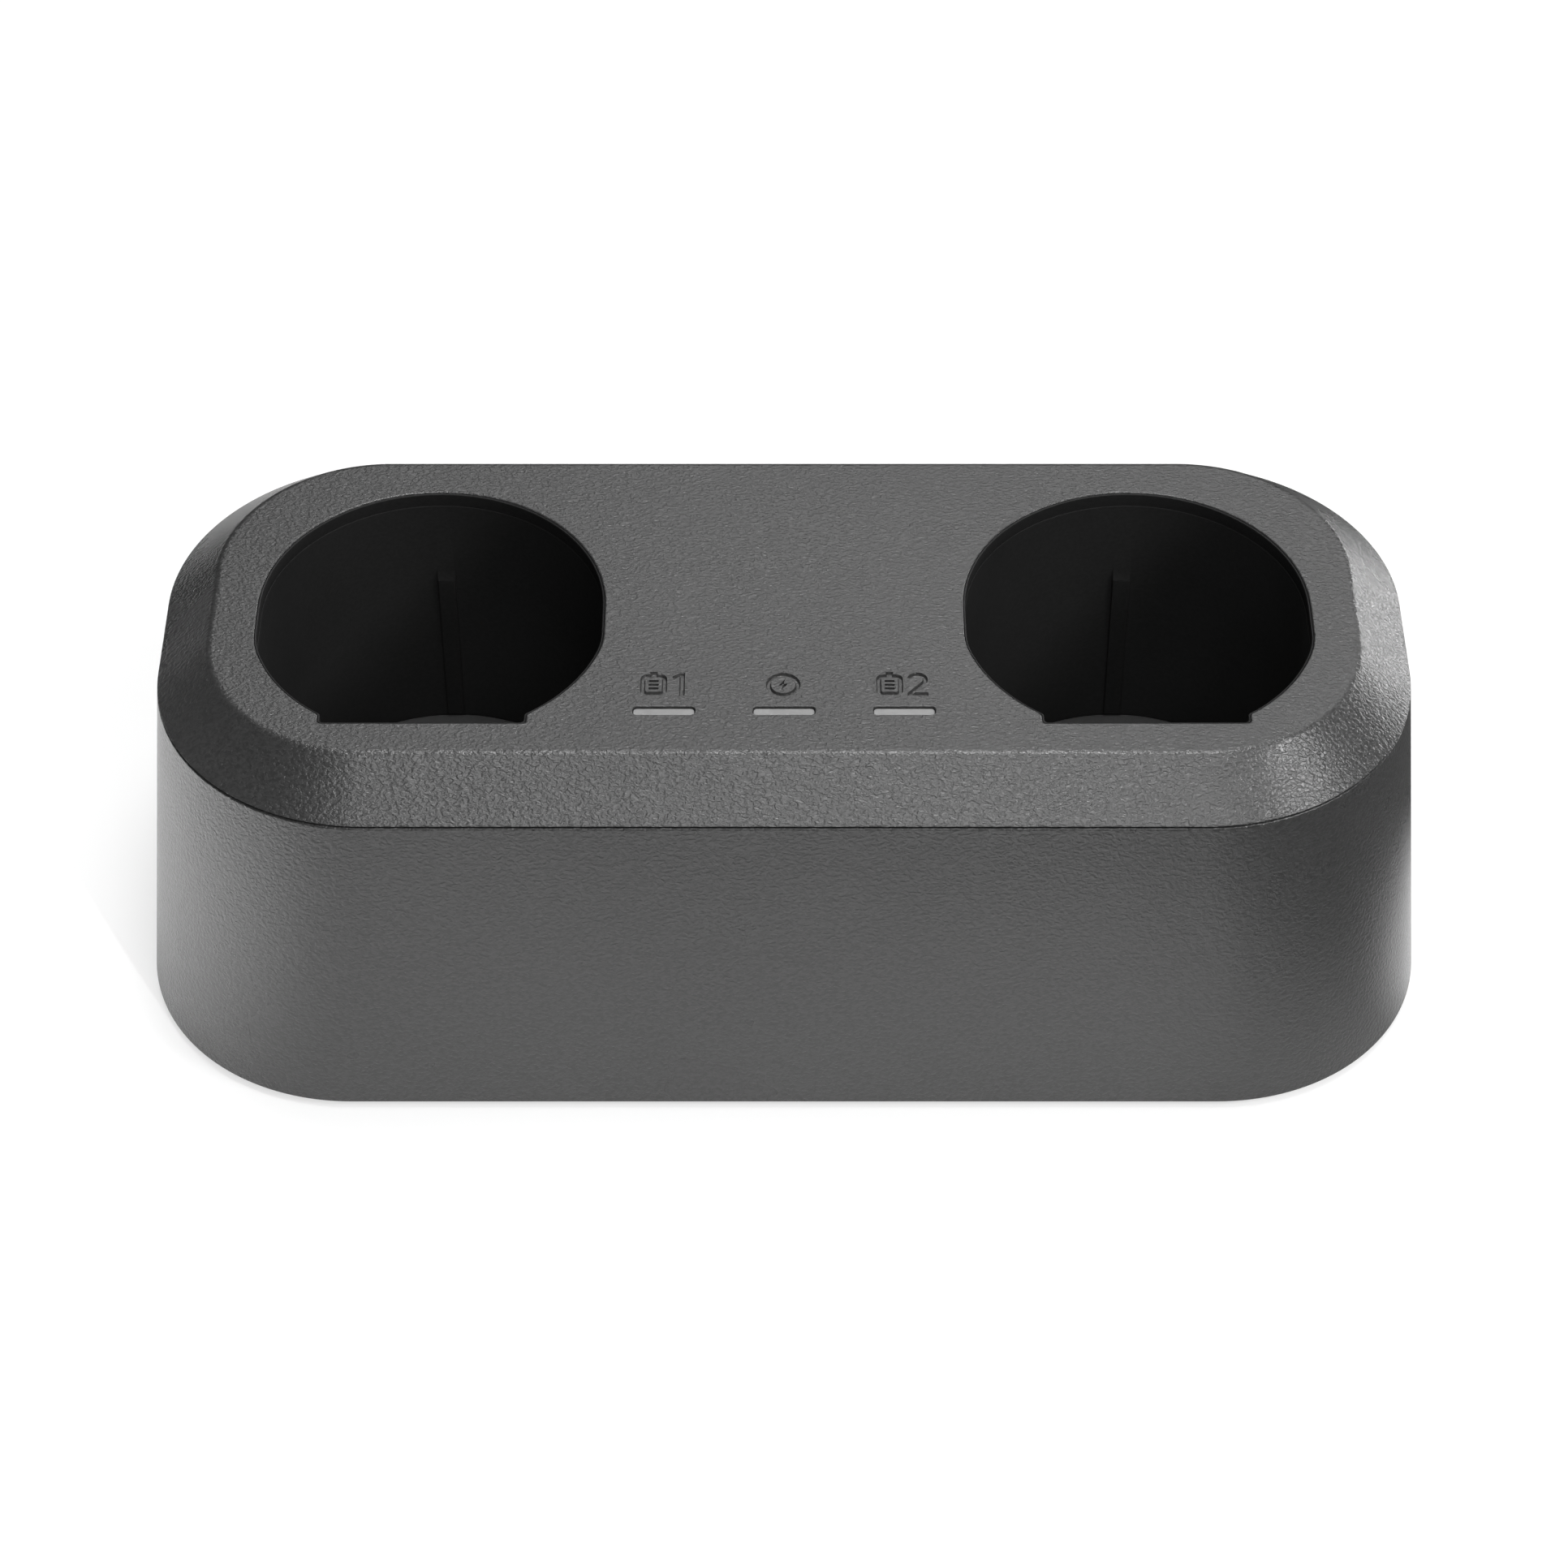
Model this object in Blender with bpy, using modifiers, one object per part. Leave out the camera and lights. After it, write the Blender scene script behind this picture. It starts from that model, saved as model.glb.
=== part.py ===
"""Two-bay desktop charging dock for round battery packs, in metres, +Z up, standing on its feet at Z = 0."""

import math

import bmesh
import bpy

MM = 0.001

# Housing
SHOULDER_HALF_X = 80.0 * MM
SHOULDER_HALF_Y = 34.6 * MM
CORNER_RADIUS = 28.0 * MM
WALL_HEIGHT = 45.8 * MM
BASE_FLARE = 4.2 * MM  # each side, from the shoulder down to the bottom edge
CHAMFER_INSET = 7.0 * MM
CHAMFER_HEIGHT = 6.3 * MM
EDGE_ROUND = 0.4 * MM
SHELL_WALL = 2.4 * MM
COVER_WALL = 2.2 * MM
LIP_WALL = 1.5 * MM
LIP_DEPTH = 3.5 * MM
GAP = 0.3 * MM
FOOT_PROUD = 1.2 * MM

BOTTOM_Z = FOOT_PROUD
SHOULDER_Z = BOTTOM_Z + WALL_HEIGHT
TOP_Z = SHOULDER_Z + CHAMFER_HEIGHT
CEILING_Z = TOP_Z - COVER_WALL
DRAFT = BASE_FLARE / WALL_HEIGHT

# Battery wells: a round back, straight sides, a slightly larger front arc and a keyed flat
BAY_X = 45.1 * MM
BAY_BACK_RADIUS = 22.2 * MM
BAY_BACK_Y = -0.45 * MM
BAY_FRONT_RADIUS = 23.15 * MM
BAY_FRONT_Y = -1.96 * MM
BAY_CORNER_RADIUS = 12.0 * MM
KEY_HALF_X = 13.0 * MM
KEY_FLAT_Y = -22.35 * MM
KEY_ROUND = 0.5 * MM
WELL_DEPTH = 39.6 * MM
FLOOR_Z = TOP_Z - WELL_DEPTH
CUP_REBATE = 0.2 * MM  # the liner's rim below the cover's face
CUP_COLLAR_WALL = 0.6 * MM
CUP_OUTER = 0.6 * MM  # the liner's outside, beyond the opening's outline
CUP_FLANGE = 1.2 * MM
CUP_FLANGE_THICK = 1.8 * MM
CUP_STEP_DEPTH = 2.1 * MM
CUP_STEP = 0.1 * MM
CUP_DRAFT = 0.2 * MM
CUP_FOOT_INNER = -(GAP + CUP_COLLAR_WALL + CUP_STEP + CUP_DRAFT)
RIB_WIDTH = 2.4 * MM
RIB_PROUD = 0.8 * MM
RIB_START = 11.3 * MM  # below the cover's face
RIB_ROOT = 1.0 * MM  # how far the rib runs into the wall behind it

# Status windows and the board under them
WINDOW_PITCH = 15.0 * MM
WINDOW_Y = -20.1 * MM
WINDOW_HALF_X = 3.9 * MM
WINDOW_HALF_Y = 0.75 * MM
WINDOW_ROUND = 0.6 * MM
WINDOW_CLEARANCE = 0.15 * MM
WINDOW_REBATE = 0.4 * MM
PIPE_FLANGE = 1.0 * MM
PIPE_FLANGE_THICK = 1.2 * MM
PIPE_FOOT_Z = 46.6 * MM
PIPE_TAPER = 1.0 * MM
PIPE_ROUND = 0.5 * MM
LED_SIZE = (3.2 * MM, 2.8 * MM, 1.3 * MM)
INDICATOR_HALF_X = 21.0 * MM
INDICATOR_Y = (-26.0 * MM, -9.0 * MM)
INDICATOR_TOP_Z = 44.7 * MM
INDICATOR_POST = (7.5 * MM, -11.5 * MM)
INDICATOR_POST_RADIUS = 2.3 * MM
INDICATOR_POST_ROOT = 0.6 * MM
INDICATOR_PILOT_RADIUS = 1.2 * MM
INDICATOR_CORNER = 1.5 * MM
INDICATOR_SCREW_HEAD = (1.9 * MM, 1.2 * MM)
INDICATOR_SCREW_SHANK = (0.9 * MM, 5.5 * MM)

# Sprung contacts
CONTACT_PITCH = 7.0 * MM
CONTACT_Y = -8.0 * MM
CONTACT_NAMES = ("plus", "sense", "minus")
PIN_RADIUS = 1.3 * MM
PIN_PROUD = 3.0 * MM
PIN_COLLAR_RADIUS = 2.1 * MM
PIN_COLLAR_THICK = 1.1 * MM
PIN_TAIL_RADIUS = 1.0 * MM
PIN_TAIL = 0.65 * MM
PIN_SEAT_GAP = 0.15 * MM
BLOCK_THICK = 2.5 * MM
BLOCK_LIP = 1.2 * MM
SEAT_STEP = 0.8 * MM  # the battery's seat stands up inside the foot of the liner
BLOCK_BAR_RADIUS = 3.4 * MM
SPRING_WIRE = 0.4 * MM
SPRING_RADIUS = 1.7 * MM
SPRING_TURNS = 4.25
SPRING_POINTS_A_TURN = 8
LEAST_SPRING_GAP = 0.4 * MM

# Boards, screws and what they carry
BOARD_THICK = 1.6 * MM
BOARD_HALF_X = 60.0 * MM
BOARD_HALF_Y = 27.0 * MM
BOARD_TOP_Z = 6.8 * MM
BOARD_CORNER = 2.0 * MM
BOARD_POST = (56.0 * MM, 14.0 * MM)
BOARD_POST_RADIUS = 3.0 * MM
BOARD_PILOT_RADIUS = 1.4 * MM
BOARD_PILOT_FLOOR = 0.8 * MM
BOARD_HOLE_RADIUS = 1.5 * MM
BOARD_SCREW_HEAD = (2.4 * MM, 1.5 * MM)
BOARD_SCREW_SHANK = (1.1 * MM, 4.2 * MM)
CAPACITOR_AT = (12.0 * MM, 12.0 * MM)
INDUCTOR_AT = (14.0 * MM, -4.0 * MM)
CONTROLLER_SIZE = (9.0 * MM, 9.0 * MM, 1.4 * MM)
CONTROLLER_Y = 11.0 * MM
HEAT_SINK_Y = -7.0 * MM
HEAT_SINK_HEIGHT = 18.0 * MM
HEAT_SINK_FINS = 5
HEAT_SINK_PITCH = 2.6 * MM
HEAT_SINK_FIN = 1.0 * MM
HEAT_SINK_BACK = 2.0 * MM
HEAT_SINK_REACH = 8.0 * MM
RIBBON_THICK = 0.9 * MM
RIBBON_HALF_WIDTH = 4.0 * MM
RIBBON_UPPER_Y = -17.0 * MM
RIBBON_LOWER_Y = -15.0 * MM
RIBBON_BOW = 4.0 * MM
RIBBON_STEPS = 14
SOCKET_SIZE = (11.0 * MM, 4.4 * MM, 3.8 * MM)
BASE_BOSS = (66.0 * MM, 20.5 * MM)
BASE_BOSS_RADIUS = 3.2 * MM
BASE_BOSS_FOOT_Z = 6.3 * MM
BASE_BOSS_ROOT = 0.3 * MM
BASE_PILOT_RADIUS = 1.6 * MM
BASE_PILOT_DEPTH = 12.0 * MM
BASE_SCREW_HEAD = (2.7 * MM, 1.8 * MM)  # radius and height
BASE_SCREW_SHANK = (1.3 * MM, 12.0 * MM)  # radius and length
BASE_CUP_RADIUS = 5.0 * MM
BASE_SEAT_THICK = 1.6 * MM
BASE_COUNTERBORE_RADIUS = 3.3 * MM
BASE_LIFT = 0.4 * MM
BASE_LOW_Z = BOTTOM_Z + BASE_LIFT
BASE_THICK = 2.0 * MM
BASE_RIM = 5.0 * MM
BASE_RIM_WALL = 1.5 * MM
BASE_CLEARANCE = 0.4 * MM
FOOT_AT = (52.0 * MM, 28.0 * MM)
FOOT_RADIUS = 6.0 * MM
FOOT_THICK = 2.3 * MM
FOOT_EDGE = 0.5 * MM
INLET_Z = 12.3 * MM
INLET_NOSE_RADIUS = 4.7 * MM
INLET_BORE_RADIUS = 3.15 * MM
INLET_PIN_RADIUS = 1.0 * MM
INLET_HOLE_CLEARANCE = 0.5 * MM
INLET_HOLE_REACH = 8.0 * MM
INLET_SIZE = (9.4 * MM, 13.9 * MM, 10.4 * MM)
INLET_BACK_Y = 34.4 * MM
INLET_NOSE_Y = 36.9 * MM
INLET_NOSE_ROOT = 4.0 * MM
INLET_BORE_Y = 28.5 * MM
INLET_PIN_HOLE_Y = 23.0 * MM
INLET_PIN_TIP_BELOW = 1.0 * MM
INLET_PIN_TAPER = 0.6

CORNER_STEPS = 10
ROUND_SIDES = 24
BLOCK_EDGE = 0.3 * MM
CHIP_EDGE = 0.2 * MM
OVERRUN = 1.0 * MM  # how far a cutting shape runs past the face that it opens
QUADRANTS = ((1, 1), (-1, 1), (-1, -1), (1, -1))
SIDES = (("left", -1), ("right", 1))


def clear_scene():
    for obj in list(bpy.data.objects):
        bpy.data.objects.remove(obj, do_unlink=True)


def new_collection(name, hidden):
    made = bpy.data.collections.new(name)
    made.hide_render = hidden
    bpy.context.scene.collection.children.link(made)
    return made


def new_material(name, colour, roughness, metallic=0.0):
    made = bpy.data.materials.new(name)
    made.use_nodes = True
    shader = made.node_tree.nodes["Principled BSDF"]
    shader.inputs["Base Color"].default_value = (*colour, 1.0)
    shader.inputs["Roughness"].default_value = roughness
    shader.inputs["Metallic"].default_value = metallic
    return made


clear_scene()
PARTS = new_collection("charging_dock", False)
CUTTERS = new_collection("charging_dock_cutters", True)

HOUSING = new_material("grained_grey_plastic", (0.115, 0.118, 0.118), 0.62)
LINER = new_material("black_plastic", (0.012, 0.013, 0.013), 0.55)
FLOOR = new_material("dark_grey_plastic", (0.045, 0.046, 0.046), 0.6)
LENS = new_material("frosted_light_pipe", (0.33, 0.34, 0.34), 0.45)
RUBBER = new_material("black_rubber", (0.02, 0.02, 0.02), 0.85)
STEEL = new_material("zinc_steel", (0.55, 0.55, 0.56), 0.35, 1.0)
GOLD = new_material("gold_plated_brass", (0.80, 0.60, 0.27), 0.28, 1.0)
LAMINATE = new_material("green_laminate", (0.02, 0.11, 0.05), 0.5)
ALUMINIUM = new_material("bare_aluminium", (0.62, 0.63, 0.65), 0.4, 1.0)
FERRITE = new_material("ferrite_and_copper", (0.06, 0.05, 0.045), 0.6)
SLEEVE = new_material("capacitor_sleeve", (0.015, 0.02, 0.05), 0.4)
EPOXY = new_material("chip_epoxy", (0.02, 0.02, 0.022), 0.6)
RIBBON = new_material("ribbon_vinyl", (0.35, 0.36, 0.38), 0.5)
NYLON = new_material("white_nylon", (0.72, 0.71, 0.67), 0.5)
LED = new_material("led_resin", (0.75, 0.76, 0.70), 0.3)


def add_part(name, mesh, finish, at=(0.0, 0.0, 0.0)):
    mesh.shade_smooth()
    mesh.set_sharp_from_angle(angle=math.radians(30))
    mesh.materials.clear()
    mesh.materials.append(finish)
    obj = bpy.data.objects.new(name, mesh)
    obj.location = at
    PARTS.objects.link(obj)
    return obj


def add_cutter(name, mesh, at=(0.0, 0.0, 0.0)):
    obj = bpy.data.objects.new(name, mesh)
    obj.location = at
    obj.hide_render = True
    obj.display_type = "WIRE"
    CUTTERS.objects.link(obj)
    return obj


def boolean(target, tool, operation):
    modifier = target.modifiers.new(f"{operation.lower()}_{tool.name}", "BOOLEAN")
    modifier.operation = operation
    modifier.solver = "EXACT"
    modifier.object = tool


def cut(target, tool):
    boolean(target, tool, "DIFFERENCE")


def join(target, tool):
    boolean(target, tool, "UNION")


def arc(centre_x, centre_y, radius, start, end, steps):
    """Points on an arc, in degrees, with both ends."""
    angles = [math.radians(start + (end - start) * i / steps) for i in range(steps + 1)]
    return [(centre_x + radius * math.cos(a), centre_y + radius * math.sin(a)) for a in angles]


def rounded_rectangle(half_x, half_y, radius, steps=CORNER_STEPS):
    points = []
    for quarter, (side_x, side_y) in enumerate(QUADRANTS):
        centre = (side_x * (half_x - radius), side_y * (half_y - radius))
        points += arc(*centre, radius, 90 * quarter, 90 * quarter + 90, steps)
    return points


def housing_outline(inset):
    """The shoulder's outline moved in by an inset."""
    return rounded_rectangle(SHOULDER_HALF_X - inset, SHOULDER_HALF_Y - inset, CORNER_RADIUS - inset)


def wall_outline(z, inset):
    """The flared wall's outline at a height, moved in by a thickness."""
    flare = DRAFT * (SHOULDER_Z - z)
    half_x = SHOULDER_HALF_X + flare - inset
    half_y = SHOULDER_HALF_Y + flare - inset
    return rounded_rectangle(half_x, half_y, CORNER_RADIUS - inset)


def well_half(grow):
    """The right half of a well's outline, from the back centre round to the key's flat, grown all round."""
    side = BAY_BACK_RADIUS + grow
    front = BAY_FRONT_RADIUS + grow
    key_x = KEY_HALF_X + grow
    flat_y = KEY_FLAT_Y - grow
    reach = BAY_FRONT_RADIUS - BAY_CORNER_RADIUS
    corner_x = BAY_BACK_RADIUS - BAY_CORNER_RADIUS
    corner_drop = math.sqrt(reach**2 - corner_x**2)
    corner_turn = math.degrees(math.atan2(corner_drop, corner_x))
    shoulder_x = key_x + KEY_ROUND
    shoulder_drop = math.sqrt((front + KEY_ROUND) ** 2 - shoulder_x**2)
    shoulder_turn = math.degrees(math.atan2(shoulder_drop, shoulder_x))
    points = arc(0.0, BAY_BACK_Y, side, 90, 0, 12)
    points += arc(corner_x, BAY_FRONT_Y - corner_drop, BAY_CORNER_RADIUS + grow, 0, -corner_turn, 3)
    points += arc(0.0, BAY_FRONT_Y, front, -corner_turn, -shoulder_turn, 4)[1:-1]
    points += arc(shoulder_x, BAY_FRONT_Y - shoulder_drop, KEY_ROUND, 180 - shoulder_turn, 180, 3)
    points += arc(key_x - KEY_ROUND, flat_y + KEY_ROUND, KEY_ROUND, 0, -90, 3)
    return points


def well_outline(grow):
    half = well_half(grow)
    mirrored = [(-x, y) for x, y in reversed(half[1:])]
    return half + mirrored


def mesh_from(name, builder):
    """A mesh made by a function that fills a bmesh, with its faces turned outwards."""
    made = bmesh.new()
    builder(made)
    bmesh.ops.recalc_face_normals(made, faces=made.faces)
    mesh = bpy.data.meshes.new(name)
    made.to_mesh(mesh)
    made.free()
    return mesh


def loft_mesh(name, rings, looped=False):
    """A skin over outlines of one length, each with its height: a tube closed on itself, or capped."""

    def build(made):
        loops = [[made.verts.new((x, y, z)) for x, y in outline] for outline, z in rings]
        pairs = list(zip(loops, loops[1:]))
        if looped:
            pairs.append((loops[-1], loops[0]))
        for low, high in pairs:
            for i in range(len(low)):
                j = (i + 1) % len(low)
                made.faces.new((low[i], low[j], high[j], high[i]))
        if not looped:
            made.faces.new(loops[0])
            made.faces.new(loops[-1])

    return mesh_from(name, build)


def prism_mesh(name, outline, low, high):
    """A flat outline given a thickness: a filled curve, extruded and then welded into a mesh."""
    curve = bpy.data.curves.new(name, "CURVE")
    curve.dimensions = "2D"
    curve.fill_mode = "BOTH"
    curve.extrude = (high - low) / 2
    spline = curve.splines.new("POLY")
    spline.points.add(len(outline) - 1)
    for point, (x, y) in zip(spline.points, outline):
        point.co = (x, y, 0.0, 1.0)
    spline.use_cyclic_u = True
    guide = bpy.data.objects.new(name, curve)
    CUTTERS.objects.link(guide)
    graph = bpy.context.evaluated_depsgraph_get()
    mesh = bpy.data.meshes.new_from_object(guide.evaluated_get(graph))
    bpy.data.objects.remove(guide)
    bpy.data.curves.remove(curve)
    made = bmesh.new()
    made.from_mesh(mesh)
    bmesh.ops.remove_doubles(made, verts=made.verts, dist=0.001 * MM)
    bmesh.ops.recalc_face_normals(made, faces=made.faces)
    bmesh.ops.translate(made, verts=made.verts, vec=(0.0, 0.0, (low + high) / 2))
    made.to_mesh(mesh)
    made.free()
    mesh.name = name
    return mesh


def rod_mesh(name, radius, low, high, sides, top_radius=None):
    """An upright cylinder, or a cone where the top has its own radius."""

    def build(made):
        bmesh.ops.create_cone(
            made,
            cap_ends=True,
            segments=sides,
            radius1=radius,
            radius2=radius if top_radius is None else top_radius,
            depth=high - low,
        )
        bmesh.ops.translate(made, verts=made.verts, vec=(0.0, 0.0, (low + high) / 2))

    return mesh_from(name, build)


def box_mesh(name, size, centre=(0.0, 0.0, 0.0), edge=0.0):
    """A block with its edges bevelled where an edge width is given."""

    def build(made):
        bmesh.ops.create_cube(made, size=1.0)
        bmesh.ops.scale(made, verts=made.verts, vec=size)
        if edge:
            bmesh.ops.bevel(made, geom=made.edges[:], offset=edge, segments=1, affect="EDGES")
        bmesh.ops.translate(made, verts=made.verts, vec=centre)

    return mesh_from(name, build)


def add_turned(name, profile, steps, finish, at):
    """A round piece: a profile of (radius, height) from the top of its axis to the bottom, turned about Z."""
    mesh = bpy.data.meshes.new(name)
    points = [(radius, 0.0, height) for radius, height in profile]
    mesh.from_pydata(points, [(i, i + 1) for i in range(len(points) - 1)], [])
    mesh.materials.append(finish)
    obj = bpy.data.objects.new(name, mesh)
    obj.location = at
    PARTS.objects.link(obj)
    screw = obj.modifiers.new("turn", "SCREW")
    screw.axis = "Z"
    screw.angle = math.tau
    screw.steps = steps
    screw.render_steps = steps
    screw.use_merge_vertices = True
    screw.merge_threshold = 0.01 * MM
    screw.use_smooth_shade = True
    return obj


def add_screw(name, at, head_radius, head, shank_radius, length, head_down):
    """A pan-head screw with its head's seat at its origin, driven upwards or downwards."""
    profile = [
        (0.0, head),
        (head_radius * 0.75, head),
        (head_radius, head * 0.55),
        (head_radius, 0.0),
        (shank_radius, 0.0),
        (shank_radius, -length + shank_radius),
        (0.0, -length),
    ]
    screw = add_turned(name, profile, 10, STEEL, at)
    if head_down:
        screw.rotation_euler = (math.pi, 0.0, 0.0)
    return screw


def four_places(place):
    """The same place in each quarter of the dock, with a number for each."""
    return [(i + 1, side_x * place[0], side_y * place[1]) for i, (side_x, side_y) in enumerate(QUADRANTS)]


def make_body_shell():
    low = BOTTOM_Z
    high = SHOULDER_Z - GAP / 2
    rings = [
        (wall_outline(low, 0.0), low),
        (wall_outline(high, 0.0), high),
        (wall_outline(high, SHELL_WALL), high),
        (wall_outline(low, SHELL_WALL), low),
    ]
    shell = add_part("body_shell", loft_mesh("body_shell", rings, looped=True), HOUSING)
    hole_radius = INLET_NOSE_RADIUS + INLET_HOLE_CLEARANCE
    hole_mesh = rod_mesh("inlet_hole", hole_radius, -INLET_HOLE_REACH, INLET_HOLE_REACH, ROUND_SIDES)
    hole = add_cutter("inlet_hole", hole_mesh)
    hole.location = (0.0, SHOULDER_HALF_Y, INLET_Z)
    hole.rotation_euler = (math.pi / 2, 0.0, 0.0)
    cut(shell, hole)


def make_top_cover():
    shoulder_low = SHOULDER_Z + GAP / 2
    lip_outer = SHELL_WALL + GAP
    lip_inner = lip_outer + LIP_WALL
    lip_low = SHOULDER_Z - LIP_DEPTH
    slope = CHAMFER_INSET / CHAMFER_HEIGHT
    wall_shift = COVER_WALL * math.sqrt(1 + slope**2)  # the sloping wall's thickness, measured level
    ceiling_inset = (CEILING_Z - SHOULDER_Z) * slope + wall_shift
    eave_z = SHOULDER_Z + (lip_inner - wall_shift) / slope
    rings = [
        (housing_outline(CHAMFER_INSET + EDGE_ROUND), TOP_Z),
        (housing_outline(CHAMFER_INSET - EDGE_ROUND / 2), TOP_Z - EDGE_ROUND / 2),
        (housing_outline(0.0), shoulder_low),
        (housing_outline(lip_outer), shoulder_low),
        (housing_outline(lip_outer), lip_low),
        (housing_outline(lip_inner), lip_low),
        (housing_outline(lip_inner), eave_z),
        (housing_outline(ceiling_inset), CEILING_Z),
    ]
    cover = add_part("top_cover", loft_mesh("top_cover", rings), HOUSING)
    boss = rod_mesh("cover_boss", BASE_BOSS_RADIUS, BASE_BOSS_FOOT_Z, CEILING_Z + BASE_BOSS_ROOT, 20)
    pilot_top = BASE_BOSS_FOOT_Z + BASE_PILOT_DEPTH
    pilot = rod_mesh("cover_pilot", BASE_PILOT_RADIUS, BASE_BOSS_FOOT_Z - OVERRUN, pilot_top, 12)
    for number, x, y in four_places(BASE_BOSS):
        join(cover, add_cutter(f"cover_boss_{number}", boss, (x, y, 0.0)))
        cut(cover, add_cutter(f"cover_pilot_{number}", pilot, (x, y, 0.0)))
    post_top = CEILING_Z + INDICATOR_POST_ROOT
    post = rod_mesh("indicator_post", INDICATOR_POST_RADIUS, INDICATOR_TOP_Z + GAP, post_top, 16)
    pilot_ends = (INDICATOR_TOP_Z - OVERRUN, CEILING_Z - OVERRUN)
    hole = rod_mesh("indicator_pilot", INDICATOR_PILOT_RADIUS, *pilot_ends, 10)
    opening = prism_mesh("well_opening", well_outline(0.0), CEILING_Z - 2 * OVERRUN, TOP_Z + 2 * OVERRUN)
    for side, sign in SIDES:
        place = (sign * INDICATOR_POST[0], INDICATOR_POST[1], 0.0)
        join(cover, add_cutter(f"indicator_post_{side}", post, place))
        cut(cover, add_cutter(f"indicator_pilot_{side}", hole, place))
        cut(cover, add_cutter(f"well_opening_{side}", opening, (sign * BAY_X, 0.0, 0.0)))
    window = rounded_rectangle(WINDOW_HALF_X, WINDOW_HALF_Y, WINDOW_ROUND, 3)
    slot = prism_mesh("window_slot", window, CEILING_Z - 2 * OVERRUN, TOP_Z + 2 * OVERRUN)
    for name, step in (("left", -1), ("centre", 0), ("right", 1)):
        cut(cover, add_cutter(f"window_slot_{name}", slot, (step * WINDOW_PITCH, WINDOW_Y, 0.0)))


def make_base_plate():
    floor_z = BASE_LOW_Z + BASE_THICK
    rim_z = BASE_LOW_Z + BASE_RIM
    inset = SHELL_WALL + BASE_CLEARANCE
    rings = [
        (wall_outline(BASE_LOW_Z, inset), BASE_LOW_Z),
        (wall_outline(rim_z, inset), rim_z),
        (wall_outline(rim_z, inset + BASE_RIM_WALL), rim_z),
        (wall_outline(floor_z, inset + BASE_RIM_WALL), floor_z),
    ]
    base = add_part("base_plate", loft_mesh("base_plate", rings), HOUSING)
    cup_top = BASE_BOSS_FOOT_Z - GAP
    seat = cup_top - BASE_SEAT_THICK
    cup = rod_mesh("screw_cup", BASE_CUP_RADIUS, floor_z - OVERRUN, cup_top, 16)
    counterbore = rod_mesh("screw_counterbore", BASE_COUNTERBORE_RADIUS, 0.0, seat, 12)
    clearance = rod_mesh("screw_clearance", BASE_PILOT_RADIUS, 0.0, cup_top + OVERRUN, 10)
    post_top = BOARD_TOP_Z - BOARD_THICK - GAP
    post = rod_mesh("board_post", BOARD_POST_RADIUS, floor_z - OVERRUN, post_top, 12)
    pilot_low = BASE_LOW_Z + BOARD_PILOT_FLOOR
    pilot = rod_mesh("board_pilot", BOARD_PILOT_RADIUS, pilot_low, post_top + OVERRUN, 10)
    recess = rod_mesh("foot_recess", FOOT_RADIUS + GAP, 0.0, FOOT_THICK + GAP, 20)
    for number, x, y in four_places(BASE_BOSS):
        join(base, add_cutter(f"screw_cup_{number}", cup, (x, y, 0.0)))
        cut(base, add_cutter(f"screw_counterbore_{number}", counterbore, (x, y, 0.0)))
        cut(base, add_cutter(f"screw_clearance_{number}", clearance, (x, y, 0.0)))
        add_screw(f"base_screw_{number}", (x, y, seat - GAP), *BASE_SCREW_HEAD, *BASE_SCREW_SHANK, True)
    for number, x, y in four_places(BOARD_POST):
        join(base, add_cutter(f"board_post_{number}", post, (x, y, 0.0)))
        cut(base, add_cutter(f"board_pilot_{number}", pilot, (x, y, 0.0)))
        head_z = BOARD_TOP_Z + GAP
        add_screw(f"board_screw_{number}", (x, y, head_z), *BOARD_SCREW_HEAD, *BOARD_SCREW_SHANK, False)
    for number, x, y in four_places(FOOT_AT):
        cut(base, add_cutter(f"foot_recess_{number}", recess, (x, y, 0.0)))
        profile = [
            (0.0, FOOT_THICK),
            (FOOT_RADIUS, FOOT_THICK),
            (FOOT_RADIUS, FOOT_EDGE),
            (FOOT_RADIUS - FOOT_EDGE, 0.0),
            (0.0, 0.0),
        ]
        add_turned(f"foot_{number}", profile, 20, RUBBER, (x, y, 0.0))


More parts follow.
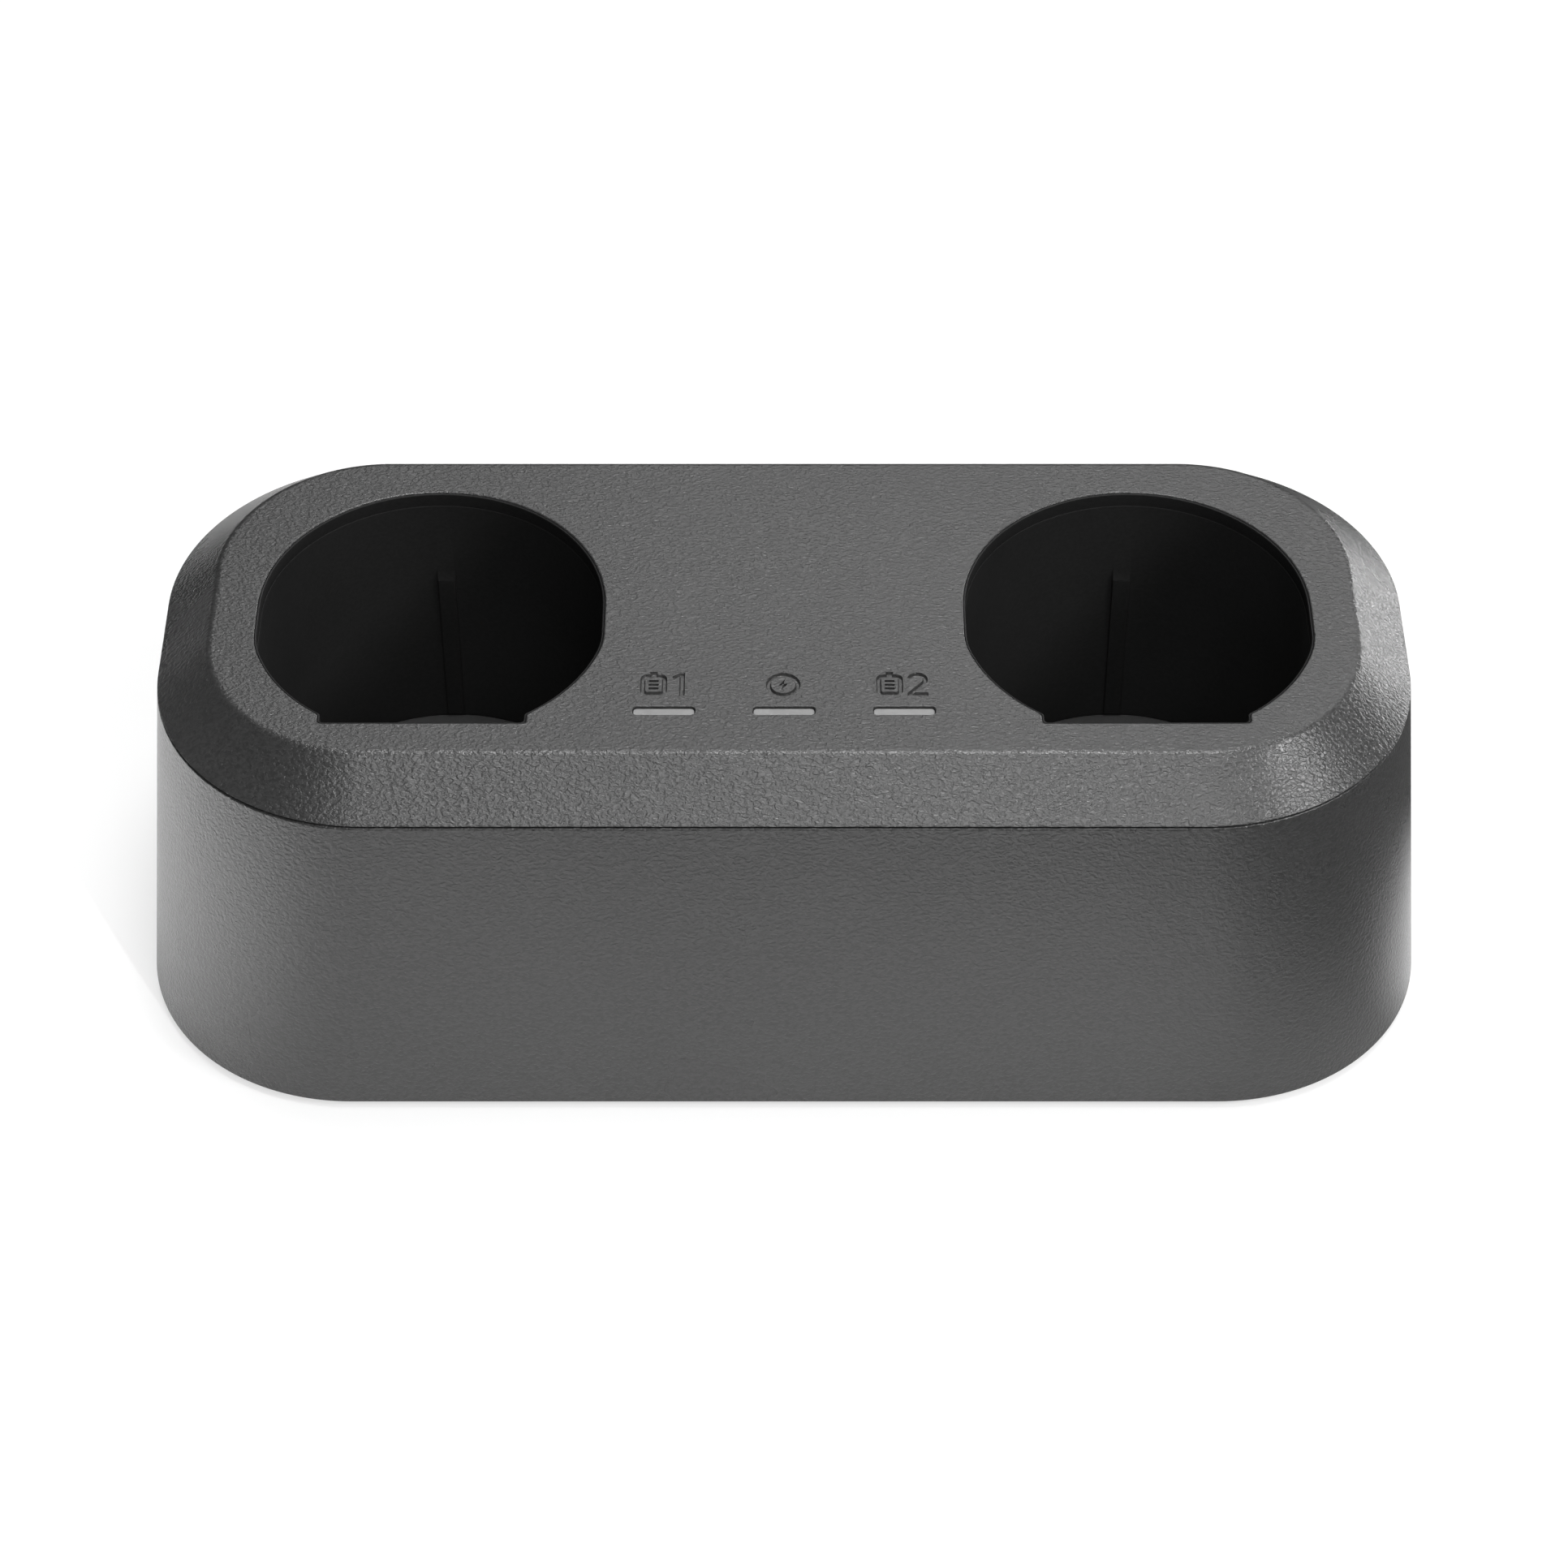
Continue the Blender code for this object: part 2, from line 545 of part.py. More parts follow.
def make_battery_cup(side, sign):
    rim_z = TOP_Z - CUP_REBATE
    flange_top = CEILING_Z - GAP
    flange_low = flange_top - CUP_FLANGE_THICK
    step_z = TOP_Z - CUP_STEP_DEPTH
    foot_z = FLOOR_Z - SEAT_STEP + GAP
    collar = -GAP
    inner = collar - CUP_COLLAR_WALL
    rings = [
        (well_outline(CUP_OUTER), foot_z),
        (well_outline(CUP_OUTER), flange_low),
        (well_outline(CUP_FLANGE), flange_low),
        (well_outline(CUP_FLANGE), flange_top),
        (well_outline(collar), flange_top),
        (well_outline(collar), rim_z),
        (well_outline(inner), rim_z),
        (well_outline(inner), step_z),
        (well_outline(inner - CUP_STEP), step_z - CUP_STEP),
        (well_outline(CUP_FOOT_INNER), foot_z),
    ]
    name = f"battery_cup_{side}"
    cup = add_part(name, loft_mesh(name, rings, looped=True), LINER, (sign * BAY_X, 0.0, 0.0))
    back_y = BAY_BACK_Y + BAY_BACK_RADIUS + CUP_FOOT_INNER

    def rib_wedge(made):
        low = FLOOR_Z + GAP
        high = TOP_Z - RIB_START
        bmesh.ops.create_cube(made, size=1.0)
        bmesh.ops.scale(made, verts=made.verts, vec=(RIB_WIDTH, RIB_PROUD + RIB_ROOT, high - low))
        middle_y = back_y + (RIB_ROOT - RIB_PROUD) / 2
        bmesh.ops.translate(made, verts=made.verts, vec=(0.0, middle_y, (low + high) / 2))
        crest = [v for v in made.verts if v.co.z > (low + high) / 2 and v.co.y < middle_y]
        bmesh.ops.translate(made, verts=crest, vec=(0.0, 0.0, -(RIB_PROUD + RIB_ROOT)))

    rib = add_cutter(f"guide_rib_{side}", mesh_from(f"guide_rib_{side}", rib_wedge), (sign * BAY_X, 0.0, 0.0))
    join(cup, rib)


def make_contact_block(side, sign):
    """The well's floor, with a bar below it that guides the contacts and their springs."""
    name = f"contact_block_{side}"
    ledge_z = FLOOR_Z - SEAT_STEP
    rings = [
        (well_outline(CUP_OUTER), FLOOR_Z - BLOCK_THICK),
        (well_outline(CUP_OUTER), ledge_z),
        (well_outline(CUP_FOOT_INNER - GAP), ledge_z),
        (well_outline(CUP_FOOT_INNER - GAP), FLOOR_Z),
    ]
    block = add_part(name, loft_mesh(name, rings), FLOOR, (sign * BAY_X, 0.0, 0.0))
    half_bar = CONTACT_PITCH + BLOCK_BAR_RADIUS
    bar_outline = rounded_rectangle(half_bar, BLOCK_BAR_RADIUS, BLOCK_BAR_RADIUS, 6)
    bar_low = BOARD_TOP_Z + GAP
    bar = prism_mesh(f"contact_bar_{side}", bar_outline, bar_low, FLOOR_Z - BLOCK_THICK / 2)
    join(block, add_cutter(f"contact_bar_{side}", bar, (sign * BAY_X, CONTACT_Y, 0.0)))
    lip_z = FLOOR_Z - BLOCK_LIP
    well = rod_mesh(f"contact_well_{side}", PIN_COLLAR_RADIUS + GAP, bar_low - OVERRUN, lip_z, 16)
    hole = rod_mesh(f"contact_hole_{side}", PIN_RADIUS + GAP, lip_z - OVERRUN, FLOOR_Z + OVERRUN, 16)
    for step, contact in enumerate(CONTACT_NAMES):
        place = (sign * BAY_X + (step - 1) * CONTACT_PITCH, CONTACT_Y, 0.0)
        cut(block, add_cutter(f"contact_well_{side}_{contact}", well, place))
        cut(block, add_cutter(f"contact_hole_{side}_{contact}", hole, place))


def spring_points(low, high):
    count = round(SPRING_TURNS * SPRING_POINTS_A_TURN)
    points = []
    for i in range(count + 1):
        turn = math.tau * i / SPRING_POINTS_A_TURN
        z = low + (high - low) * i / count
        points.append((SPRING_RADIUS * math.cos(turn), SPRING_RADIUS * math.sin(turn), z))
    return points


def least_gap(points):
    """The smallest clear distance between wire stretches that are at least half a turn apart."""
    half_turn = SPRING_POINTS_A_TURN // 2
    nearest = min(math.dist(a, b) for i, a in enumerate(points) for b in points[i + half_turn + 1 :])
    return nearest - SPRING_WIRE


def make_contact(side, sign, step, contact):
    """A sprung pin, with its origin on its axis at the well's floor, and the coil under its collar."""
    place = (sign * BAY_X + (step - 1) * CONTACT_PITCH, CONTACT_Y, FLOOR_Z)
    collar_top = -BLOCK_LIP - PIN_SEAT_GAP
    collar_low = collar_top - PIN_COLLAR_THICK
    dome = [(PIN_RADIUS * math.sin(math.radians(a)), math.cos(math.radians(a))) for a in (0, 30, 60, 90)]
    profile = [(radius, PIN_PROUD - PIN_RADIUS * (1 - height)) for radius, height in dome]
    profile += [
        (PIN_RADIUS, collar_top),
        (PIN_COLLAR_RADIUS, collar_top),
        (PIN_COLLAR_RADIUS, collar_low),
        (PIN_TAIL_RADIUS, collar_low),
        (PIN_TAIL_RADIUS, collar_low - PIN_TAIL),
        (0.0, collar_low - PIN_TAIL),
    ]
    add_turned(f"contact_pin_{side}_{contact}", profile, 12, GOLD, place)
    low = BOARD_TOP_Z + PIN_SEAT_GAP + SPRING_WIRE / 2
    high = FLOOR_Z + collar_low - PIN_SEAT_GAP - SPRING_WIRE / 2
    points = spring_points(low, high)
    curve = bpy.data.curves.new(f"contact_spring_{side}_{contact}", "CURVE")
    curve.dimensions = "3D"
    curve.bevel_depth = SPRING_WIRE / 2
    curve.bevel_resolution = 1
    curve.use_fill_caps = True
    spline = curve.splines.new("POLY")
    spline.points.add(len(points) - 1)
    for point, co in zip(spline.points, points):
        point.co = (*co, 1.0)
    curve.materials.append(STEEL)
    spring = bpy.data.objects.new(f"contact_spring_{side}_{contact}", curve)
    spring.location = (place[0], place[1], 0.0)
    PARTS.objects.link(spring)
    gap = least_gap(points)
    state = "clear" if gap > LEAST_SPRING_GAP else "too tight"
    print(f"{spring.name}: least gap between turns {gap / MM:.2f} mm, {state}")


def make_main_board():
    board_low = BOARD_TOP_Z - BOARD_THICK
    outline = rounded_rectangle(BOARD_HALF_X, BOARD_HALF_Y, BOARD_CORNER, 3)
    board = add_part("main_board", prism_mesh("main_board", outline, board_low, BOARD_TOP_Z), LAMINATE)
    hole = rod_mesh("board_hole", BOARD_HOLE_RADIUS, board_low - OVERRUN, BOARD_TOP_Z + OVERRUN, 12)
    for number, x, y in four_places(BOARD_POST):
        cut(board, add_cutter(f"board_hole_{number}", hole, (x, y, 0.0)))
    deck = BOARD_TOP_Z + GAP
    can = [
        (0.0, 16.0 * MM),
        (4.4 * MM, 16.0 * MM),
        (5.0 * MM, 15.4 * MM),
        (5.0 * MM, 2.6 * MM),
        (4.5 * MM, 1.9 * MM),
        (5.0 * MM, 1.2 * MM),
        (5.0 * MM, 0.0),
        (0.0, 0.0),
    ]
    drum = [
        (0.0, 9.0 * MM),
        (5.5 * MM, 9.0 * MM),
        (5.5 * MM, 7.6 * MM),
        (4.7 * MM, 7.4 * MM),
        (4.7 * MM, 1.6 * MM),
        (5.5 * MM, 1.4 * MM),
        (5.5 * MM, 0.0),
        (0.0, 0.0),
    ]
    for side, sign in SIDES:
        can_place = (sign * CAPACITOR_AT[0], CAPACITOR_AT[1], deck)
        drum_place = (sign * INDUCTOR_AT[0], INDUCTOR_AT[1], deck)
        add_turned(f"filter_capacitor_{side}", can, 16, SLEEVE, can_place)
        add_turned(f"charge_inductor_{side}", drum, 16, FERRITE, drum_place)
    chip_middle = (0.0, 0.0, deck + CONTROLLER_SIZE[2] / 2)
    chip = box_mesh("charge_controller", CONTROLLER_SIZE, chip_middle, CHIP_EDGE)
    add_part("charge_controller", chip, EPOXY, (0.0, CONTROLLER_Y, 0.0))
    make_heat_sink(deck)


def make_heat_sink(deck):
    """A comb of fins on a back plate, as it leaves the extruder."""
    first = -HEAT_SINK_PITCH * (HEAT_SINK_FINS - 1) / 2
    outline = [(first - HEAT_SINK_FIN / 2, 0.0)]
    for i in range(HEAT_SINK_FINS):
        left = first + i * HEAT_SINK_PITCH - HEAT_SINK_FIN / 2
        right = left + HEAT_SINK_FIN
        if i > 0:
            outline.append((left, HEAT_SINK_BACK))
        outline += [(left, HEAT_SINK_REACH), (right, HEAT_SINK_REACH)]
        if i < HEAT_SINK_FINS - 1:
            outline.append((right, HEAT_SINK_BACK))
    outline.append((-first + HEAT_SINK_FIN / 2, 0.0))
    mesh = prism_mesh("heat_sink", outline, deck, deck + HEAT_SINK_HEIGHT)
    add_part("heat_sink", mesh, ALUMINIUM, (0.0, HEAT_SINK_Y, 0.0))


def make_indicator():
    low = INDICATOR_TOP_Z - BOARD_THICK
    depth = INDICATOR_Y[1] - INDICATOR_Y[0]
    outline = rounded_rectangle(INDICATOR_HALF_X, depth / 2, INDICATOR_CORNER, 3)
    mesh = prism_mesh("indicator_board", outline, low, INDICATOR_TOP_Z)
    board = add_part("indicator_board", mesh, LAMINATE, (0.0, sum(INDICATOR_Y) / 2, 0.0))
    hole = rod_mesh("indicator_hole", INDICATOR_PILOT_RADIUS, low - OVERRUN, INDICATOR_TOP_Z + OVERRUN, 12)
    for side, sign in SIDES:
        place = (sign * INDICATOR_POST[0], INDICATOR_POST[1], 0.0)
        cut(board, add_cutter(f"indicator_hole_{side}", hole, place))
        seat = (place[0], place[1], low - GAP)
        add_screw(f"indicator_screw_{side}", seat, *INDICATOR_SCREW_HEAD, *INDICATOR_SCREW_SHANK, True)
    head_half = (WINDOW_HALF_X - WINDOW_CLEARANCE, WINDOW_HALF_Y - WINDOW_CLEARANCE)
    head = rounded_rectangle(*head_half, PIPE_ROUND, 3)
    flange = rounded_rectangle(WINDOW_HALF_X + PIPE_FLANGE, WINDOW_HALF_Y + PIPE_FLANGE, PIPE_ROUND, 3)
    foot = rounded_rectangle(LED_SIZE[0] / 2, LED_SIZE[1] / 2, PIPE_ROUND, 3)
    flange_top = CEILING_Z - GAP
    flange_low = flange_top - PIPE_FLANGE_THICK
    rings = [
        (head, TOP_Z - WINDOW_REBATE),
        (head, flange_top),
        (flange, flange_top),
        (flange, flange_low),
        (foot, flange_low - PIPE_TAPER),
        (foot, PIPE_FOOT_Z),
    ]
    led_low = INDICATOR_TOP_Z + GAP
    for name, step in (("left", -1), ("centre", 0), ("right", 1)):
        place = (step * WINDOW_PITCH, WINDOW_Y, 0.0)
        add_part(f"light_pipe_{name}", loft_mesh(f"light_pipe_{name}", rings), LENS, place)
        lamp = box_mesh(f"status_led_{name}", LED_SIZE, (0.0, 0.0, led_low + LED_SIZE[2] / 2), CHIP_EDGE)
        add_part(f"status_led_{name}", lamp, LED, place)


def make_ribbon():
    """The lead between the boards: a flat strip that bows once between its two sockets."""
    upper_z = INDICATOR_TOP_Z - BOARD_THICK - GAP - SOCKET_SIZE[2] / 2
    lower_z = BOARD_TOP_Z + GAP + SOCKET_SIZE[2] / 2
    for name, y, z in (("upper", RIBBON_UPPER_Y, upper_z), ("lower", RIBBON_LOWER_Y, lower_z)):
        mesh = box_mesh(f"ribbon_socket_{name}", SOCKET_SIZE, (0.0, 0.0, 0.0), BLOCK_EDGE)
        add_part(f"ribbon_socket_{name}", mesh, NYLON, (0.0, y, z))
    top = upper_z - SOCKET_SIZE[2] / 2 - GAP
    low = lower_z + SOCKET_SIZE[2] / 2 + GAP
    front = []
    back = []
    for i in range(RIBBON_STEPS + 1):
        share = i / RIBBON_STEPS
        z = top + (low - top) * share
        straight_y = RIBBON_UPPER_Y + (RIBBON_LOWER_Y - RIBBON_UPPER_Y) * share
        y = straight_y - RIBBON_BOW * math.sin(math.pi * share) ** 2
        front.append((y - RIBBON_THICK / 2, z))
        back.append((y + RIBBON_THICK / 2, z))
    outline = front + back[::-1]
    mesh = prism_mesh("indicator_ribbon", outline, -RIBBON_HALF_WIDTH, RIBBON_HALF_WIDTH)
    strip = add_part("indicator_ribbon", mesh, RIBBON)
    strip.rotation_euler = (math.pi / 2, 0.0, math.pi / 2)


def make_inlet():
    middle = (0.0, INLET_BACK_Y - INLET_SIZE[1] / 2, BOARD_TOP_Z + GAP + INLET_SIZE[2] / 2)
    inlet = add_part("dc_inlet", box_mesh("dc_inlet", INLET_SIZE, middle, BLOCK_EDGE), EPOXY)
    rods = (
        ("inlet_nose", INLET_NOSE_RADIUS, INLET_BACK_Y - INLET_NOSE_ROOT, INLET_NOSE_Y, join),
        ("inlet_bore", INLET_BORE_RADIUS, INLET_BORE_Y, INLET_NOSE_Y + OVERRUN, cut),
        ("inlet_pin_hole", INLET_PIN_RADIUS + GAP, INLET_PIN_HOLE_Y, INLET_BORE_Y + OVERRUN, cut),
    )
    for name, radius, low, high, apply in rods:
        tool = add_cutter(name, rod_mesh(name, radius, -high, -low, ROUND_SIDES), (0.0, 0.0, INLET_Z))
        tool.rotation_euler = (math.pi / 2, 0.0, 0.0)
        apply(inlet, tool)
    tip = INLET_NOSE_Y - INLET_PIN_TIP_BELOW
    root = INLET_PIN_HOLE_Y + GAP
    profile = [
        (0.0, tip),
        (INLET_PIN_RADIUS * INLET_PIN_TAPER, tip),
        (INLET_PIN_RADIUS, tip - INLET_PIN_RADIUS * INLET_PIN_TAPER),
        (INLET_PIN_RADIUS, root),
        (0.0, root),
    ]
    pin = add_turned("dc_inlet_pin", profile, 14, STEEL, (0.0, 0.0, INLET_Z))
    pin.rotation_euler = (-math.pi / 2, 0.0, 0.0)


make_body_shell()
make_top_cover()
make_base_plate()
for side_name, side_sign in SIDES:
    make_battery_cup(side_name, side_sign)
    make_contact_block(side_name, side_sign)
    for contact_step, contact_name in enumerate(CONTACT_NAMES):
        make_contact(side_name, side_sign, contact_step, contact_name)
make_main_board()
make_indicator()
make_ribbon()
make_inlet()
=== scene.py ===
import math
import bpy
import bmesh
from mathutils import Matrix, Vector


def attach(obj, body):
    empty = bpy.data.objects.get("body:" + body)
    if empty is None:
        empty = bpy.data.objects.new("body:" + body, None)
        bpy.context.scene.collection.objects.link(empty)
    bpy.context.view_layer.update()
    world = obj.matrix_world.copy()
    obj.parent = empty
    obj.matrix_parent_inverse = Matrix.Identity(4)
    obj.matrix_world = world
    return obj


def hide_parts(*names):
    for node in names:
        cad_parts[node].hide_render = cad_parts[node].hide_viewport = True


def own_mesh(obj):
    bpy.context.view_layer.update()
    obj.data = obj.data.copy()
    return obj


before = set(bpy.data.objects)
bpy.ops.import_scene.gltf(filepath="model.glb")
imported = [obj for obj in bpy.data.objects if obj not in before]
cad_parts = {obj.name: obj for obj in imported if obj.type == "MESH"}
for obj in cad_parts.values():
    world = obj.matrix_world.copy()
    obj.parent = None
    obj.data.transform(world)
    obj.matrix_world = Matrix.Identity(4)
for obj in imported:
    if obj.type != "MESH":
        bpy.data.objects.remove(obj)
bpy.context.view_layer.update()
scene = bpy.context.scene
toMetres = 0.001            # pieces are modelled in millimetres and scaled when they are finished
weldGap = 0.0005            # points nearer than this are one point
spinGap = 0.001             # and in a round piece, where many meet on its axis
print("frame loaded:", len(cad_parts), "nodes")


# an outline is traced by a vertex: a pair is a straight run, four numbers are an arc (centre, degrees, steps)
def traceOutline(start, moves, height):
    bm = bmesh.new()
    tip = bm.verts.new((start[0], start[1], height))
    for move in moves:
        if len(move) == 2:
            tip = bmesh.ops.extrude_vert_indiv(bm, verts=[tip])["verts"][0]
            tip.co = (move[0], move[1], height)
        else:
            x, y, turn, steps = move
            made = bmesh.ops.spin(bm, geom=[tip], cent=(x, y, height), axis=(0, 0, 1), dvec=(0, 0, 0),
                                  angle=math.radians(turn), steps=steps, use_merge=False, use_duplicate=False)
            tip = [v for v in made["geom_last"] if isinstance(v, bmesh.types.BMVert)][0]
    points = [v.co.copy() for v in bm.verts][:-1]       # the last one is back at the start
    bm.free()
    return points


def roundedLoop(halfX, halfY, radius, height, steps, x=0.0, y=0.0):
    left, right, front, back = x - halfX, x + halfX, y - halfY, y + halfY
    moves = [(right - radius, back - radius, 90, steps), (left + radius, back),
             (left + radius, back - radius, 90, steps), (left, front + radius),
             (left + radius, front + radius, 90, steps), (right - radius, front),
             (right - radius, front + radius, 90, steps), (right, back - radius)]
    return traceOutline((right, back - radius), moves, height)


def circleLoop(radius, height, steps, x=0.0, y=0.0):
    return traceOutline((x + radius, y), [(x, y, 360, steps)], height)


# the first outline is drawn, and each of the others is an extrusion of the ring before it, moved into place
def joinLoops(bm, outlines, closed=False):
    ring = [bm.verts.new(point) for point in outlines[0]]
    edges = [bm.edges.new((ring[i - 1], ring[i])) for i in range(len(ring))]
    first = edges
    for points in outlines[1:] + outlines[:1] * closed:
        made = bmesh.ops.extrude_edge_only(bm, edges=edges)["geom"]
        fresh = {v for v in made if isinstance(v, bmesh.types.BMVert)}
        edges = [e for e in made if isinstance(e, bmesh.types.BMEdge) and all(v in fresh for v in e.verts)]
        ring = [next(e.other_vert(v) for e in v.link_edges if e.other_vert(v) in fresh) for v in ring]
        for vert, point in zip(ring, points):
            vert.co = point
    return first, edges


# how many flats stand for a round piece, and for a rounded edge
facets = {"pin": 40, "screw": 48, "foot": 64, "inlet": 64, "hole": 32}
roundSteps = {"shoulder": 6, "foot": 5, "lip": 4, "well": 5, "window": 3, "cup": 4, "floor": 4, "pin": 4,
              "rib": 4, "inlet": 3}
fillTurn = 17               # degrees that outlines are turned while they are filled: level rows of points confuse it


def fillBetween(bm, loops):
    edges = sum(loops, [])
    verts = list({v for e in edges for v in e.verts})
    turn = Matrix.Rotation(math.radians(fillTurn), 3, "Z")
    bmesh.ops.rotate(bm, verts=verts, matrix=turn)
    made = bmesh.ops.triangle_fill(bm, use_beauty=True, use_dissolve=False, edges=edges, normal=(0, 0, 1))["geom"]
    bmesh.ops.rotate(bm, verts=verts, matrix=turn.inverted())
    return [f for f in made if isinstance(f, bmesh.types.BMFace)]


def roundOver(radius, turn, steps):         # a quarter-round's steps: how far along the face, and how far below it
    angles = [math.radians(turn) * i / steps for i in range(steps + 1)]
    return [(radius * math.sin(a), radius * (1 - math.cos(a))) for a in angles]


shading = {"sharpAngle": 32, "flatNormal": 0.99999, "coilAngle": 60}


# level faces keep their own shading next to a rounded edge, and sharp corners break
def settleShading(mesh, angle):
    bm = bmesh.new()
    bm.from_mesh(mesh)
    for face in bm.faces:
        face.smooth = True
    for edge in bm.edges:
        if len(edge.link_faces) != 2:
            continue
        flats = [abs(f.normal.z) > shading["flatNormal"] for f in edge.link_faces]
        bend = math.degrees(edge.calc_face_angle(0.0))
        edge.smooth = bend < angle and flats[0] == flats[1]
    bm.to_mesh(mesh)
    bm.free()


def closedMesh(name, bm, scale=1.0):
    bmesh.ops.remove_doubles(bm, verts=bm.verts, dist=weldGap)
    bmesh.ops.recalc_face_normals(bm, faces=bm.faces)
    bmesh.ops.scale(bm, verts=bm.verts, vec=(scale, scale, scale))
    mesh = bpy.data.meshes.new(name)
    bm.to_mesh(mesh)
    bm.free()
    return mesh


def makePiece(name, bm, material, body, nodes, sharp=shading["sharpAngle"]):
    mesh = closedMesh(name, bm, toMetres)
    settleShading(mesh, sharp)
    piece = bpy.data.objects.new(name, mesh)
    scene.collection.objects.link(piece)
    mesh.materials.append(material)
    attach(piece, body)
    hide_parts(*nodes)
    return piece


def newBox(size):
    bm = bmesh.new()
    bmesh.ops.create_cube(bm, size=1.0)
    bmesh.ops.scale(bm, verts=bm.verts, vec=size)
    return bm


def roundEdges(bm, edges, radius, steps):
    bmesh.ops.bevel(bm, geom=edges, offset=radius, offset_type="OFFSET", segments=steps, profile=0.5,
                    affect="EDGES", material=-1, clamp_overlap=True)


# cuts tool meshes out of a bmesh, or joins them to it, and hands back a new bmesh
def carve(bm, tools, operation="DIFFERENCE"):
    block = bpy.data.objects.new("carved", closedMesh("carved", bm))
    scene.collection.objects.link(block)
    carvers = bpy.data.collections.new("carvers")
    scene.collection.children.link(carvers)
    helpers = [bpy.data.objects.new("carver", mesh) for mesh in tools]
    for helper in helpers:
        carvers.objects.link(helper)
    step = block.modifiers.new("carve", "BOOLEAN")
    step.operation = operation
    step.solver = "EXACT"
    step.operand_type = "COLLECTION"        # all the tools in one cut
    step.collection = carvers
    graph = bpy.context.evaluated_depsgraph_get()
    done = bpy.data.meshes.new_from_object(block.evaluated_get(graph))
    made = bmesh.new()
    made.from_mesh(done)
    for spare in helpers + [block]:
        bpy.data.objects.remove(spare, do_unlink=True)
    bpy.data.collections.remove(carvers)
    return made


# what the finishes share: each group puts out only values that change over the surface
def newGroup(name, inputs, outputs):
    tree = bpy.data.node_groups.new(name, "ShaderNodeTree")
    tree.interface.new_socket(name="Vector", in_out="INPUT", socket_type="NodeSocketVector")
    for label, value in inputs.items():
        socket = tree.interface.new_socket(name=label, in_out="INPUT", socket_type="NodeSocketFloat")
        socket.default_value = value
    for label in outputs:
        tree.interface.new_socket(name=label, in_out="OUTPUT", socket_type="NodeSocketFloat")
    return tree, tree.nodes.new("NodeGroupInput"), tree.nodes.new("NodeGroupOutput")


def feed(tree, socket, value):          # a number is set, and another node's output is linked
    if isinstance(value, (int, float)):
        socket.default_value = value
    else:
        tree.links.new(value, socket)


def mathNode(tree, operation, *values):
    node = tree.nodes.new("ShaderNodeMath")
    node.operation = operation
    for socket, value in zip(node.inputs, values):
        feed(tree, socket, value)
    return node.outputs[0]


def rangeNode(tree, value, fromLow, fromHigh, toLow, toHigh):
    node = tree.nodes.new("ShaderNodeMapRange")
    tree.links.new(value, node.inputs["Value"])
    for label, given in (("From Min", fromLow), ("From Max", fromHigh), ("To Min", toLow), ("To Max", toHigh)):
        feed(tree, node.inputs[label], given)
    return node.outputs["Result"]


grainShape = {"turn": (0.35, 0.2, math.radians(42)), "stretch": (0.7, 1.1, 0.9), "detail": 2.5, "roughness": 0.55,
              "distortion": 0.4, "pitSmoothness": 0.35, "ridgeLow": 0.36, "ridgeHigh": 0.64}


def makeGrainGroup():       # the short wavy streaks of a spark-eroded mould
    tree, start, end = newGroup("mouldedGrain", {"Scale": 1500.0, "Streak": 0.6}, ("Height", "Tint"))
    turn = tree.nodes.new("ShaderNodeMapping")
    turn.inputs["Rotation"].default_value = grainShape["turn"]
    turn.inputs["Scale"].default_value = grainShape["stretch"]
    streaks = tree.nodes.new("ShaderNodeTexNoise")
    streaks.inputs["Detail"].default_value = grainShape["detail"]
    streaks.inputs["Roughness"].default_value = grainShape["roughness"]
    streaks.inputs["Distortion"].default_value = grainShape["distortion"]
    pits = tree.nodes.new("ShaderNodeTexVoronoi")
    pits.feature = "SMOOTH_F1"
    pits.inputs["Smoothness"].default_value = grainShape["pitSmoothness"]
    tree.links.new(start.outputs["Vector"], turn.inputs["Vector"])
    for texture in (streaks, pits):
        tree.links.new(turn.outputs["Vector"], texture.inputs["Vector"])
        tree.links.new(start.outputs["Scale"], texture.inputs["Scale"])
    ridge = rangeNode(tree, streaks.outputs["Fac"], grainShape["ridgeLow"], grainShape["ridgeHigh"], 0.0, 1.0)
    mix = tree.nodes.new("ShaderNodeMix")
    tree.links.new(start.outputs["Streak"], mix.inputs["Factor"])
    tree.links.new(pits.outputs["Distance"], mix.inputs["A"])
    tree.links.new(ridge, mix.inputs["B"])
    tree.links.new(mix.outputs["Result"], end.inputs["Height"])
    tree.links.new(ridge, end.inputs["Tint"])
    return tree


driftShape = {"detail": 4.0, "cloudLow": 0.3, "cloudHigh": 0.7}


def makeDriftGroup():       # slow unevenness of a moulded, plated or handled surface
    tree, start, end = newGroup("surfaceDrift", {"Scale": 60.0, "Low": 0.4, "High": 0.6}, ("Value",))
    cloud = tree.nodes.new("ShaderNodeTexNoise")
    cloud.inputs["Detail"].default_value = driftShape["detail"]
    tree.links.new(start.outputs["Vector"], cloud.inputs["Vector"])
    tree.links.new(start.outputs["Scale"], cloud.inputs["Scale"])
    value = rangeNode(tree, cloud.outputs["Fac"], driftShape["cloudLow"], driftShape["cloudHigh"],
                      start.outputs["Low"], start.outputs["High"])
    tree.links.new(value, end.inputs["Value"])
    return tree


fleckShape = {"core": 0.02, "driftShare": 0.2, "strength": 0.15, "depth": 0.00003}


